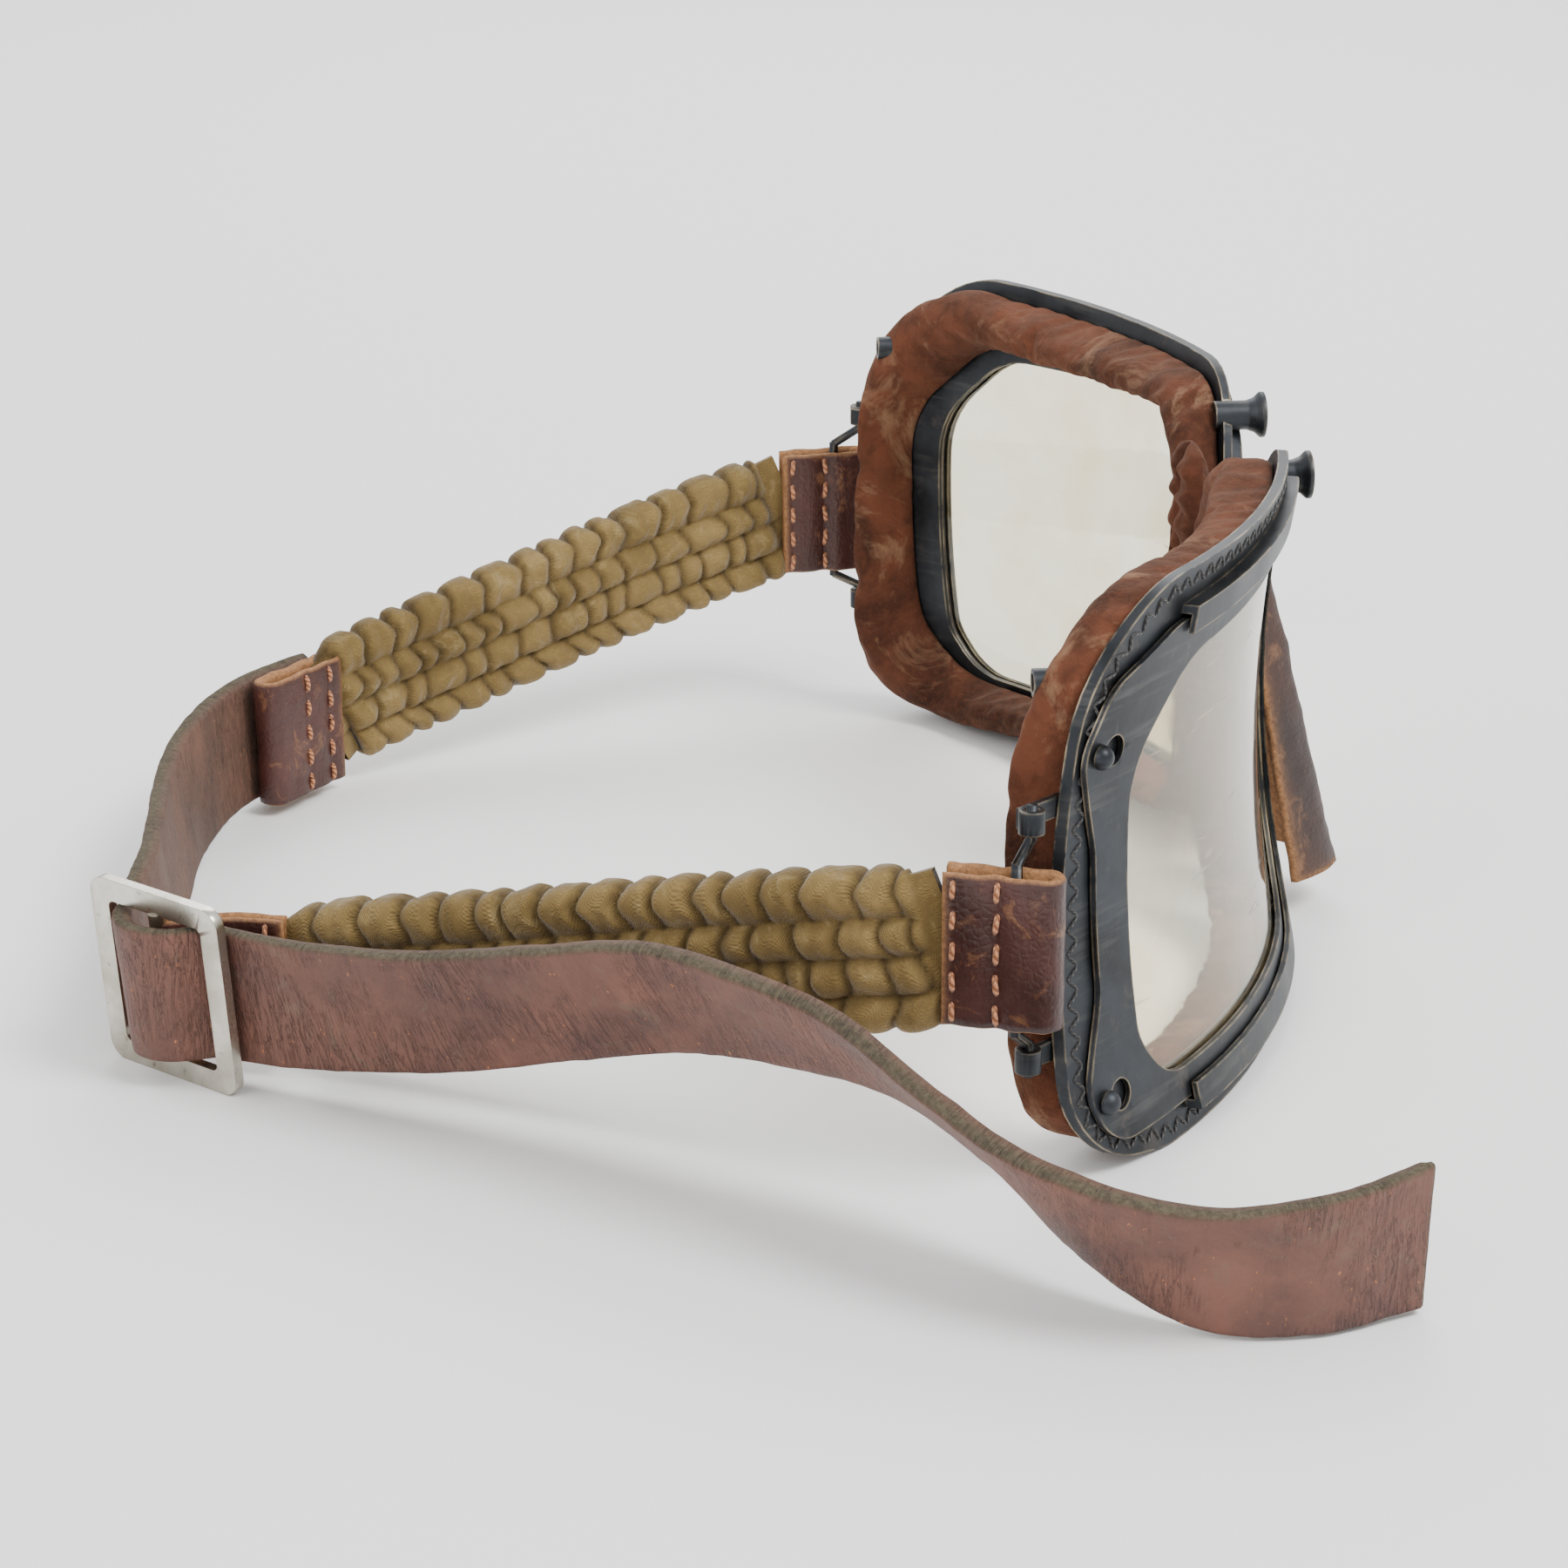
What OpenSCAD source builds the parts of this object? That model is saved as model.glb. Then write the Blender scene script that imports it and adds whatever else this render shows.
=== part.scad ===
// Motorcycle goggles with two curved steel eye frames, leather tabs, ruched elastics and a leather strap.
// Units are millimetres. +Z is up, the lenses face -Y, +X is the wearer's left, z = 0 is the table.

/* [Eye frame] */
// Plan radius of the eye plates round the face
eye_r = 99; // [96:1:102]
// Radius of the hollow that runs up and down each plate
dish_r = 150; // [145:5:160]
// Angle of each eye frame back from straight across
wrap = 25; // [23:1:27]
// Thickness of each layer of steel
steel_t = 0.6; // [0.5:0.1:0.7]
// Clearance between the bezel and what it slides over and under
slide_gap = 0.25; // [0.2:0.05:0.3]
// How far the pad stands behind the plate
pad_t = 7; // [5:0.5:8]

/* [Bezel studs] */
// Radius of a stud's dome
stud_head_r = 1.35; // [1.3:0.05:1.4]
// Radius of a stud's shank
stud_r = 0.7; // [0.6:0.05:0.75]
// Travel of the bezel that frees the studs
release = 2.6; // [2.5:0.1:2.8]

/* [Ventilation] */
// Radius of the horn's mouth
horn_mouth_r = 2.8; // [2.5:0.1:3]
// Radius of the horn's neck
horn_neck_r = 1.8; // [1.7:0.1:1.9]
// Radius of the bore through horns and outlet tubes
vent_bore_r = 1.0; // [0.8:0.1:1.1]
// Outer radius of the outlet tubes
outlet_r = 1.5; // [1.4:0.1:1.6]
// Length of the outlet tubes
outlet_l = 9; // [7:1:10]

/* [Straps] */
// Width of the leather strap
strap_w = 16.5; // [16:0.5:17]
// Thickness of the leather strap
strap_t = 2.2; // [1.8:0.1:2.4]
// Height of the leather tabs
tab_h = 17; // [16:0.5:18]
// Height of the ruched elastic
elastic_w = 18.5; // [18:0.5:19]
// Mean thickness of the ruched elastic
elastic_t = 5.5; // [5:0.5:6]

/* [Buckle] */
// Outer length of the buckle along the strap
buckle_l = 20.2; // [20:0.1:21]
// Outer height of the buckle
buckle_h = 22.8; // [22.5:0.1:23.5]
// Width of the buckle's flat bars
bar_w = 2.8; // [2.6:0.1:3]

/* [Hidden] */

hinge_y = 1.0;
pin_r = 0.8;
knuckle_r = 1.9;
hinge_low = 26;
knuckle_h = 6;
knuckle_gap = 0.15;

// Colours
steel = [0.20, 0.21, 0.23];
suede = [0.45, 0.24, 0.15];
straw = [0.88, 0.85, 0.74, 0.5];
olive = [0.55, 0.46, 0.27];
tab_leather = [0.30, 0.17, 0.15];
strap_leather = [0.50, 0.37, 0.33];
tan_thread = [0.74, 0.47, 0.34];
black_thread = [0.08, 0.08, 0.08];
nickel = [0.75, 0.73, 0.68];
rubber = [0.12, 0.11, 0.10];

// Where each eye frame's middle stands, and the height of its narrowest waist
eye_x = 45.8;
eye_y = 8.4;
waist_z = 36;
arc_step = 12;
big_fn = 180;
fine_fn = 48;
top_of_all = 75;

// Outlines seen square on to an eye frame: [across, up, corner radius], temple side positive
plate_corners = [[-38.5, 51, 12], [-42, 34, 60], [-41, 18, 14], [-24, 0.6, 16], [27, 0, 14],
  [41.5, 3, 10], [39.5, 30, 60], [37.6, 55.5, 16], [27.5, 63.5, 14], [-32, 63.5, 12]];
window_corners = [[-32.5, 50, 9], [-35, 30, 60], [-31, 7.5, 13], [26, 7.5, 7], [30, 13.5, 6],
  [30, 44, 12], [20, 53.5, 12], [-24, 56, 9]];
bezel_corners = [[-36.5, 53, 11], [-39, 30, 60], [-34.5, 4.5, 14], [24, 4, 10], [37, 3.6, 5],
  [39.2, 10, 6], [35.5, 20, 12], [35.5, 36, 12], [38.2, 47, 6], [34.5, 54, 6], [24, 58, 10], [-26, 59.5, 10]];
pad_hole_corners = [[-33.5, 51, 9], [-36, 30, 60], [-31.5, 7, 13], [27, 7, 8], [34, 14, 8],
  [34, 44, 12], [22, 55, 12], [-25, 57, 9]];

// A corner rounded to radius r, as a list of points about arc_step degrees apart
function turn(a, p, b) =
  let (u = (p - a) / norm(p - a), v = (b - p) / norm(b - p)) atan2(u.x * v.y - u.y * v.x, u * v);
function corner(a, p, b, r) =
  let (t = turn(a, p, b), u = (p - a) / norm(p - a), n = sign(t) * [-u.y, u.x],
       start = p - u * r * tan(abs(t) / 2), centre = start + n * r, steps = ceil(abs(t) / arc_step) + 1)
  [for (i = [0:steps]) let (g = t * i / steps)
    centre + [-n.x * r * cos(g) + n.y * r * sin(g), -n.x * r * sin(g) - n.y * r * cos(g)]];
function xy(c) = [c.x, c.y];
function rounded(c) =
  let (m = len(c))
  [for (i = [0:m - 1], p = corner(xy(c[(i + m - 1) % m]), xy(c[i]), xy(c[(i + 1) % m]), c[i][2])) p];

// A closed anticlockwise outline moved outwards by d
function side_normal(a, b) = let (v = (b - a) / norm(b - a)) [v.y, -v.x];
function grow(p, d) =
  let (m = len(p))
  [for (i = [0:m - 1])
    let (n1 = side_normal(p[(i + m - 1) % m], p[i]), n2 = side_normal(p[i], p[(i + 1) % m]))
    p[i] + d * (n1 + n2) / (1 + n1 * n2)];

// Even stations along an open or closed run of points
function lengths(p, i = 0, sum = 0) =
  i == len(p) ? [] : concat([sum], lengths(p, i + 1, sum + (i < len(p) - 1 ? norm(p[i + 1] - p[i]) : 0)));
function at_length(p, l, s) =
  let (i = max([0, for (k = [0:len(p) - 2]) if (l[k] <= s) k]))
  p[i] + (p[i + 1] - p[i]) * (s - l[i]) / (l[i + 1] - l[i]);
function stations(p, count) =
  let (l = lengths(p), total = l[len(p) - 1])
  [for (i = [0:count - 1]) at_length(p, l, total * min(0.9999, i / (count - 1)))];

plate_line = rounded(plate_corners);
window_line = rounded(window_corners);
bezel_line = rounded(bezel_corners);
pad_hole_line = rounded(pad_hole_corners);
lens_lip = 3;
pad_inset = 2;

// Distance of the plate's face from the chord's tangent plane at (across, up), n deeper towards the face
function face_r(z, n) = eye_r + dish_r - sqrt(pow(dish_r + n, 2) - pow(z - waist_z, 2));
function face_y(x, z, n) = eye_r - sqrt(pow(face_r(z, n), 2) - x * x);

module eye() translate([eye_x, eye_y, 0]) rotate([0, 0, wrap]) children();
module other_side() mirror([1, 0, 0]) children();

// Everything between two depths behind the plate's outer face
module layer(from, to) {
  translate([0, eye_r, 0])
    rotate_extrude($fn = big_fn)
      intersection() {
        translate([eye_r + dish_r, waist_z]) difference() {
          circle(dish_r + to, $fn = big_fn);
          circle(dish_r + from, $fn = big_fn);
        }
        translate([eye_r - 20, -12]) square([32, 96]);
      }
}
module straight_through(line) {
  translate([0, 40, 0]) rotate([90, 0, 0]) linear_extrude(70) polygon(line);
}
module ring_layer(from, to, outer, inner) {
  intersection() {
    layer(from, to);
    difference() {
      straight_through(outer);
      straight_through(inner);
    }
  }
}
// Places its children on the plate at (across, up), with their z axis pointing out of the face
module on_face(x, z, n) {
  radius = face_r(z, n);
  translate([0, eye_r, z]) rotate([0, 0, asin(x / radius)]) translate([0, -radius, 0])
    rotate([90, 0, 0]) children();
}

/* Studs and vents: [across, up] */
stud_places = [[35.6, 46.8], [36.6, 8.8]];
horn_place = [-33.6, 58.3];
outlet_place = [30.5, 53.5];
bezel_in = -slide_gap;
bezel_out = bezel_in - steel_t;
lip_in = bezel_out - slide_gap;
lip_out = lip_in - steel_t;
rim_end = 22;

module rim_box() {
  translate([-60, -30, -10]) cube([60 + rim_end, 80, 90]);
}

module eye_plate() {
  color(steel) eye() difference() {
    union() {
      ring_layer(0, steel_t, plate_line, grow(window_line, lens_lip + 0.1));
      ring_layer(steel_t, 2 * steel_t, plate_line, window_line);
      intersection() {
        union() {
          ring_layer(lip_in, 0, grow(bezel_line, 1.5), grow(bezel_line, 0.5));
          ring_layer(lip_out, lip_in, grow(bezel_line, 1.5), grow(bezel_line, -1.6));
        }
        rim_box();
      }
    }
    for (s = stud_places) on_face(s.x, s.y, 0) translate([0, 0, -4]) cylinder(r = stud_r, h = 8, $fn = 32);
    horn_axis() cylinder(r = horn_neck_r, h = 40, center = true, $fn = 32);
  }
}

keyhole_gap = 0.15;
module keyhole() {
  entry_r = stud_head_r + 0.3;
  cylinder(r = stud_r + keyhole_gap, h = 8, center = true, $fn = 32);
  translate([-release / 2, 0, 0]) cube([release, 2 * (stud_r + keyhole_gap), 8], center = true);
  translate([-release, 0, 0]) cylinder(r = entry_r, h = 8, center = true, $fn = 32);
}
module bezel() {
  color(steel) eye() difference() {
    ring_layer(bezel_out, bezel_in, bezel_line, window_line);
    for (s = stud_places) on_face(s.x, s.y, 0) keyhole();
  }
}
module lens() {
  lens_out = 0;
  lens_in = 0.35;
  color(straw) eye() intersection() {
    layer(lens_out, lens_in);
    straight_through(grow(window_line, lens_lip));
  }
}
module lens_gasket() {
  color(rubber) eye() ring_layer(0.35, steel_t, grow(window_line, lens_lip), window_line);
}
module bezel_studs() {
  shank_in = 2 * steel_t - 0.15;
  color(steel) eye() for (s = stud_places) on_face(s.x, s.y, 0) {
    translate([0, 0, -shank_in]) cylinder(r = stud_r, h = shank_in - lip_in, $fn = 32);
    translate([0, 0, -lip_in]) intersection() {
      sphere(r = stud_head_r, $fn = 32);
      cylinder(r = stud_head_r + 1, h = stud_head_r + 1, $fn = 32);
    }
  }
}

// The horn points straight ahead, whatever the wrap of the frame
horn_l = 4.2;
module horn_axis() {
  translate([horn_place.x, face_y(horn_place.x, horn_place.y, 0), horn_place.y])
    rotate([0, 0, -wrap]) rotate([90, 0, 0]) children();
}
module vent_horn() {
  lip_l = 0.5;
  color(steel) eye() horn_axis() rotate_extrude($fn = fine_fn) polygon([
    [vent_bore_r, -2], [horn_neck_r, -2], [horn_neck_r, horn_l - 2.2], [horn_neck_r + 0.35, horn_l - 1.2],
    [horn_mouth_r, horn_l - lip_l], [horn_mouth_r, horn_l], [horn_mouth_r - 0.5, horn_l],
    [horn_neck_r, horn_l - 0.9], [vent_bore_r, horn_l - 2]]);
}
module outlet_axis() {
  translate([outlet_place.x, face_y(outlet_place.x, outlet_place.y, 2 * steel_t), outlet_place.y])
    rotate([0, 0, -wrap]) rotate([-90, 0, 0]) children();
}
module outlet_tube() {
  color(steel) eye() difference() {
    outlet_axis() difference() {
      translate([0, 0, -3]) cylinder(r = outlet_r, h = outlet_l + 3, $fn = fine_fn);
      translate([0, 0, -4]) cylinder(r = vent_bore_r, h = outlet_l + 5, $fn = fine_fn);
    }
    layer(-6, 2 * steel_t);
  }
}
module face_pad() {
  color(suede) difference() {
    eye() difference() {
      ring_layer(2 * steel_t, 2 * steel_t + pad_t, grow(plate_line, -pad_inset), pad_hole_line);
      outlet_axis() cylinder(r = outlet_r + 0.3, h = 60, center = true, $fn = 32);
      horn_axis() cylinder(r = horn_neck_r + 0.1, h = 5.2, center = true, $fn = 32);
    }
    leaf_sheet(0, hinge_low, 3 * knuckle_h, 0.2);
  }
}

// Zig-zag thread through the plate's edge
module pad_stitching() {
  thread_w = 0.5;
  pitch = 2.7;
  edge = concat(grow(plate_line, -0.9), [grow(plate_line, -0.9)[0]]);
  inner = concat(grow(plate_line, -2.3), [grow(plate_line, -2.3)[0]]);
  total = lengths(edge)[len(edge) - 1];
  count = 2 * round(total / pitch / 2);
  out_points = stations(edge, count + 1);
  in_points = stations(inner, count + 1);
  color(black_thread) eye() intersection() {
    layer(-0.22, 0);
    difference() {
      translate([0, 40, 0]) rotate([90, 0, 0]) linear_extrude(70) for (i = [0:count - 1]) {
        a = i % 2 == 0 ? out_points[i] : in_points[i];
        b = i % 2 == 0 ? in_points[i + 1] : out_points[i + 1];
        translate(a) rotate(atan2(b.y - a.y, b.x - a.x)) translate([0, -thread_w / 2])
          square([norm(b - a) + 0.1, thread_w]);
      }
      straight_through(grow(bezel_line, 1.6));
      horn_axis() cylinder(r = horn_neck_r + 0.1, h = 20, center = true, $fn = 32);
    }
  }
}

/* Wire loop and its lugs, behind the temple edge; each tab is [x, y, turn] of the middle of its front bend */
loop_x = 80.7;
loop_y = 36.1;
wire_r = 0.6;
lug_low = 14;
lug_high = 40.5;
lug_h = 2.6;
left_tab = [82.6, 36.8, 8];
right_tab = [82.2, 34.9, 20];
tab_l = 10.4;
tab_low = 19.4;
tab_t = 4.4;
leg_back = 2.9;
module at_tab(place) translate([place.x, place.y, tab_low]) rotate([0, 0, place.z]) children();
function tab_point(place, back) = [place.x - back * sin(place.z), place.y + back * cos(place.z)];
module rod(a, b, r) {
  v = b - a;
  translate(a) rotate([0, acos(v.z / norm(v)), atan2(v.y, v.x)]) cylinder(r = r, h = norm(v), $fn = 24);
}
module wire_loop(place) {
  leg = tab_point(place, leg_back);
  leg_low = tab_low - 0.9;
  leg_high = tab_low + tab_h + 0.9;
  reach = 0.5;
  low_top = lug_low + lug_h + reach;
  high_foot = lug_high - reach;
  slant_r = wire_r - 0.04;
  color(steel) {
    translate([loop_x, loop_y, lug_low - reach]) cylinder(r = wire_r, h = lug_h + 2 * reach + 0.2, $fn = 24);
    translate([loop_x, loop_y, high_foot - 0.2]) cylinder(r = wire_r, h = lug_h + 2 * reach + 0.2, $fn = 24);
    translate([leg.x, leg.y, leg_low - 0.2]) cylinder(r = wire_r, h = leg_high - leg_low + 0.4, $fn = 24);
    rod([loop_x, loop_y, low_top], [leg.x, leg.y, leg_low], slant_r);
    rod([loop_x, loop_y, high_foot], [leg.x, leg.y, leg_high], slant_r);
  }
}
// Each lug is a straight tongue behind the plate's edge, [height, start across, start deep], with a ring
lug_starts = [[lug_low, 39.1, 8.15], [lug_high, 37.4, 8.68]];
module loop_lugs() {
  lug_r = 1.4;
  tongue_t = 0.8;
  tongue_turn = 24.4;
  tongue_end = 43.4;
  color(steel) difference() {
    union() {
      for (s = lug_starts) eye() translate([s.y, s.z, s.x + 0.15]) rotate([0, 0, tongue_turn])
        cube([(tongue_end - s.y) / cos(tongue_turn), tongue_t, lug_h - 0.3]);
      for (s = lug_starts) translate([loop_x, loop_y, s.x]) cylinder(r = lug_r, h = lug_h, $fn = 32);
    }
    for (s = lug_starts) translate([loop_x, loop_y, s.x - 1])
      cylinder(r = wire_r + 0.06, h = lug_h + 2, $fn = 32);
  }
}
module front_tab(place) {
  bend_r = tab_t / 2;
  color(tab_leather) at_tab(place) difference() {
    union() {
      cylinder(r = bend_r, h = tab_h, $fn = fine_fn);
      translate([-bend_r, 0, 0]) cube([tab_t, tab_l, tab_h]);
    }
    translate([0, leg_back, -1]) cylinder(r = wire_r + 0.05, h = tab_h + 2, $fn = 24);
    translate([0, tab_l, tab_h / 2]) cube([1.4, 8, tab_h - 1.6], center = true);
  }
}
module stitch_rows(places, height, low) {
  stitch_l = 2.1;
  count = 5;
  for (p = places, k = [0:count - 1])
    translate([p.x, p.y, low + height * (k + 0.5) / count - stitch_l / 2]) rotate([0, 0, p.z])
      translate([-0.25, 0, 0]) cube([0.5, 0.3, stitch_l]);
}
tab_rows = [4.6, 9.2];
module front_tab_thread(place) {
  color(tan_thread) at_tab(place) for (d = tab_rows)
    stitch_rows([[tab_t / 2, d, -90], [-tab_t / 2, d, 90]], tab_h, 0);
}

// A flat band swept along points, each with its half-width vector; the section is a slim rectangle
function unit(v) = v / norm(v);
function along(c, i) = unit(c[min(len(c) - 1, i + 1)] - c[max(0, i - 1)]);
module band(c, half, t) {
  m = len(c);
  rings = [for (i = [0:m - 1]) let (n = unit(cross(along(c, i), half[i])) * t / 2)
    each [c[i] + half[i] + n, c[i] + half[i] - n, c[i] - half[i] - n, c[i] - half[i] + n]];
  faces = concat([[0, 1, 2, 3]], [for (i = [0:m - 2], k = [0:3])
    [4 * i + k, 4 * i + 4 + k, 4 * i + 4 + (k + 1) % 4, 4 * i + (k + 1) % 4]],
    [[4 * m - 1, 4 * m - 2, 4 * m - 3, 4 * m - 4]]);
  polyhedron(faces = [for (f = faces) [for (k = [len(f) - 1:-1:0]) f[k]]], points = rings);
}

/* Elastics: from the front tab back and down to the rear tab, leaving each tab in line with it */
elastic_mid_z = 27.9;
elastic_rear_z = 11;
elastic_gap = 0.7;
front_pull = 20;
rear_pull = 14;
function hermite(p, u, q, v, f) =
  (1 + 2 * f) * pow(1 - f, 2) * p + f * pow(1 - f, 2) * u + f * f * (3 - 2 * f) * q + f * f * (f - 1) * v;
function elastic_line(front, front_way, rear, rear_way, count = 14) =
  [for (i = [0:count]) let (f = i / count, q = hermite(front, front_pull * front_way, rear, rear_pull * rear_way, f))
    [q.x, q.y, elastic_mid_z + (elastic_rear_z - elastic_mid_z) * (f - sin(360 * f) / 14)]];
function way(a) = [-sin(a), cos(a)];
left_tab_run = [[43.6, 117.4], [53.3, 109.9]];
right_tab_run = [[-42.35, 113.6], [-40.9, 118.6], [-40.55, 126.4]];
left_rear_way = unit(left_tab_run[0] - left_tab_run[1]);
left_rear = left_tab_run[1] - 0.9 * left_rear_way;
right_rear = [-41.9, 110.6];
right_rear_way = [0.1, 0.995];
function flip(p) = [-p.x, p.y];
left_line = elastic_line(tab_point(left_tab, tab_l + elastic_gap), way(left_tab.z), left_rear, left_rear_way);
right_line = elastic_line(flip(tab_point(right_tab, tab_l + elastic_gap)), flip(way(right_tab.z)), right_rear,
  right_rear_way);
module elastic_cover(line) {
  half = [for (p = line) [0, 0, elastic_w / 2]];
  core_half = [for (p = line) [0, 0, elastic_w / 2 - 1.4]];
  longer = [for (i = [0:len(line) - 1])
    line[i] + (i == 0 ? -along(line, 0) : i == len(line) - 1 ? along(line, i) : [0, 0, 0])];
  color(olive) difference() {
    band(line, half, elastic_t);
    band(longer, core_half, 1.4);
  }
}
module elastic_core(line) {
  half = [for (p = line) [0, 0, elastic_w / 2 - 1.6]];
  color(rubber) band(line, half, 1.1);
}

/* Rear tabs: an upright leather fold along a run of points in plan */
rear_tab_low = 2.4;
left_rear_tab_t = 4.4;
right_rear_tab_t = 2.6;
module thick_run(points, t) {
  for (i = [0:len(points) - 2]) {
    v = points[i + 1] - points[i];
    translate(points[i]) rotate(atan2(v.y, v.x)) translate([0, -t / 2]) square([norm(v), t]);
  }
  for (i = [0:len(points) - 2]) translate(points[i]) circle(t / 2, $fn = fine_fn);
}
module at_run(run) {
  v = run[1] - run[0];
  translate([run[0].x, run[0].y, 0]) rotate([0, 0, atan2(v.y, v.x)]) children();
}
module left_rear_tab() {
  length = norm(left_tab_run[1] - left_tab_run[0]);
  color(tab_leather) at_run(left_tab_run) translate([0, 0, rear_tab_low - 1]) {
    cylinder(r = left_rear_tab_t / 2, h = tab_h, $fn = fine_fn);
    translate([0, -left_rear_tab_t / 2, 0]) cube([length, left_rear_tab_t, tab_h]);
  }
}
module left_rear_tab_thread() {
  color(tan_thread) at_run(left_tab_run) for (d = [5.2, 9.8])
    stitch_rows([[d, -left_rear_tab_t / 2, 180]], tab_h, rear_tab_low - 1);
}

/* Buckle: a flat slide standing on its lower edge, leaning a little outwards */
buckle_left = [-33.6, 133.6];
buckle_turn = -134;
buckle_lean = 5;
buckle_t = 1.2;
bar_at = 10;
bar_r = 1;
module at_buckle() {
  translate([buckle_left.x, buckle_left.y, 0]) rotate([0, 0, buckle_turn]) rotate([buckle_lean, 0, 0])
    children();
}
function round_rect(l, h, r) = rounded([[0, 0, r], [l, 0, r], [l, h, r], [0, h, r]]);
module upright_plate(line, t) {
  rotate([90, 0, 0]) translate([0, 0, -t / 2]) linear_extrude(t) polygon(line);
}
floor_gap = 0.06;
module buckle_frame() {
  slot_low = (buckle_h - strap_w - 1) / 2;
  color(nickel) at_buckle() translate([0, 0, floor_gap]) difference() {
    upright_plate(round_rect(buckle_l, buckle_h, 2.2), buckle_t);
    translate([bar_w, 0, slot_low]) upright_plate(round_rect(buckle_l - 2 * bar_w, strap_w + 1, 0.8), 4);
    translate([bar_at, 0, slot_low - 1.2]) cylinder(r = bar_r / 2, h = strap_w + 3.4, $fn = 24);
  }
}
module buckle_bar() {
  slot_low = (buckle_h - strap_w - 1) / 2;
  color(nickel) at_buckle() translate([bar_at, 0, slot_low + floor_gap]) {
    cylinder(r = bar_r, h = strap_w + 1, $fn = 32);
    translate([0, 0, -1.2]) cylinder(r = bar_r / 2, h = strap_w + 3.4, $fn = 24);
  }
}
bar_loop_r = 2.1;
module right_rear_tab() {
  color(tab_leather) difference() {
    translate([0, 0, rear_tab_low + 0.9]) linear_extrude(strap_w - 0.6) union() {
      thick_run(right_tab_run, right_rear_tab_t);
      translate(right_tab_run[2]) circle(bar_loop_r, $fn = fine_fn);
    }
    at_buckle() translate([bar_at, 0, 0]) cylinder(r = bar_r + 0.08, h = 40, $fn = 32);
  }
}
module right_rear_tab_thread() {
  color(tan_thread) at_run(right_tab_run) for (side = [-1, 1])
    stitch_rows([[2, side * right_rear_tab_t / 2, side < 0 ? 180 : 0]], strap_w - 0.6, rear_tab_low + 0.9);
}

/* Strap: [x, y, height of the lower edge, outward lean of the upper edge in degrees] */
strap_route = [
  [55, 112.8, 1.5, 2], [46, 120, 1.5, 3], [37, 124.3, 1.2, 4], [25, 127, 1, 5], [12, 128, 1, 6],
  [-2, 128.2, 1.2, 6], [-15, 128.3, 1.8, 6], [-25, 128.9, 2.6, 6], [-31.8, 129.6, 3.0, 5], [-35.9, 129.7, 3.1, 5],
  [-39.1, 130.2, 3.2, 5], [-41.8, 130, 3.2, 5], [-43.5, 128.7, 3.2, 5], [-44.4, 126.4, 3.2, 5],
  [-44.1, 123.7, 3.2, 5], [-43.8, 120.8, 3.2, 5], [-45.2, 118.2, 3.2, 6], [-50, 110, 4, 12],
  [-57.5, 96.5, 6.5, 20], [-65, 83.5, 10.5, 25], [-72, 71.5, 14, 29], [-79.5, 60.5, 15, 37],
  [-87, 50, 14.2, 44], [-96.5, 40.5, 9.8, 45], [-106.5, 32, 4, 35], [-113.5, 23, 0.4, 22],
  [-115, 13, 0, 12], [-111, 1.5, 0.3, 5]
];
function smooth(a, b, c, d, f) =
  0.5 * ((2 * b) + (c - a) * f + (2 * a - 5 * b + 4 * c - d) * f * f + (3 * b - a - 3 * c + d) * f * f * f);
strap_steps = 3;
function strap_key(i) = strap_route[max(0, min(len(strap_route) - 1, i))];
strap_stations = concat([for (i = [0:len(strap_route) - 2], k = [0:strap_steps - 1])
  smooth(strap_key(i - 1), strap_key(i), strap_key(i + 1), strap_key(i + 2), k / strap_steps)],
  [strap_key(len(strap_route) - 1)]);
strap_lift = 0.03;
function strap_floor(s) = [s.x, s.y, strap_lift + max(0, s.z)];
module strap() {
  lower = [for (s = strap_stations) strap_floor(s)];
  m = len(lower);
  up = [for (i = [0:m - 1]) let (t = along(lower, i), out = unit([t.y, -t.x, 0]), a = strap_stations[i][3],
    raw = [0, 0, cos(a)] + out * sin(a)) unit(raw - t * (raw * t))];
  half = [for (u = up) u * strap_w / 2];
  lift = strap_t / 2;
  centre = [for (i = [0:m - 1]) lower[i] + half[i] + [0, 0, lift * sin(strap_stations[i][3])]];
  color(strap_leather) band(centre, half, strap_t);
}

/* Nose hinge, flap and gusset */
leaf_t = 0.8;
leaf_l = 9.5;
module leaf_sheet(from_x, z, height, room = 0) {
  intersection() {
    eye() layer(2 * steel_t, 2 * steel_t + leaf_t + room);
    translate([from_x, -10, z - room]) cube([leaf_l + room - from_x, 20, height + 2 * room]);
  }
}
module hinge_leaf(levels) {
  barrel_h = knuckle_h - 2 * knuckle_gap;
  color(steel) difference() {
    union() {
      leaf_sheet(knuckle_r + 0.4, hinge_low, 3 * knuckle_h);
      for (k = levels) {
        low = hinge_low + k * knuckle_h + knuckle_gap;
        translate([0, hinge_y, low]) cylinder(r = knuckle_r, h = barrel_h, $fn = 32);
        leaf_sheet(0, low, barrel_h);
      }
    }
    translate([0, hinge_y, 0]) cylinder(r = pin_r + 0.05, h = top_of_all, $fn = 32);
  }
}
module hinge_pin() {
  color(steel) translate([0, hinge_y, hinge_low - 0.6]) {
    cylinder(r = pin_r, h = 3 * knuckle_h + 1.2, $fn = 32);
    translate([0, 0, 3 * knuckle_h + 0.8]) cylinder(r = pin_r + 0.5, h = 0.8, $fn = 32);
  }
}
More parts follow.
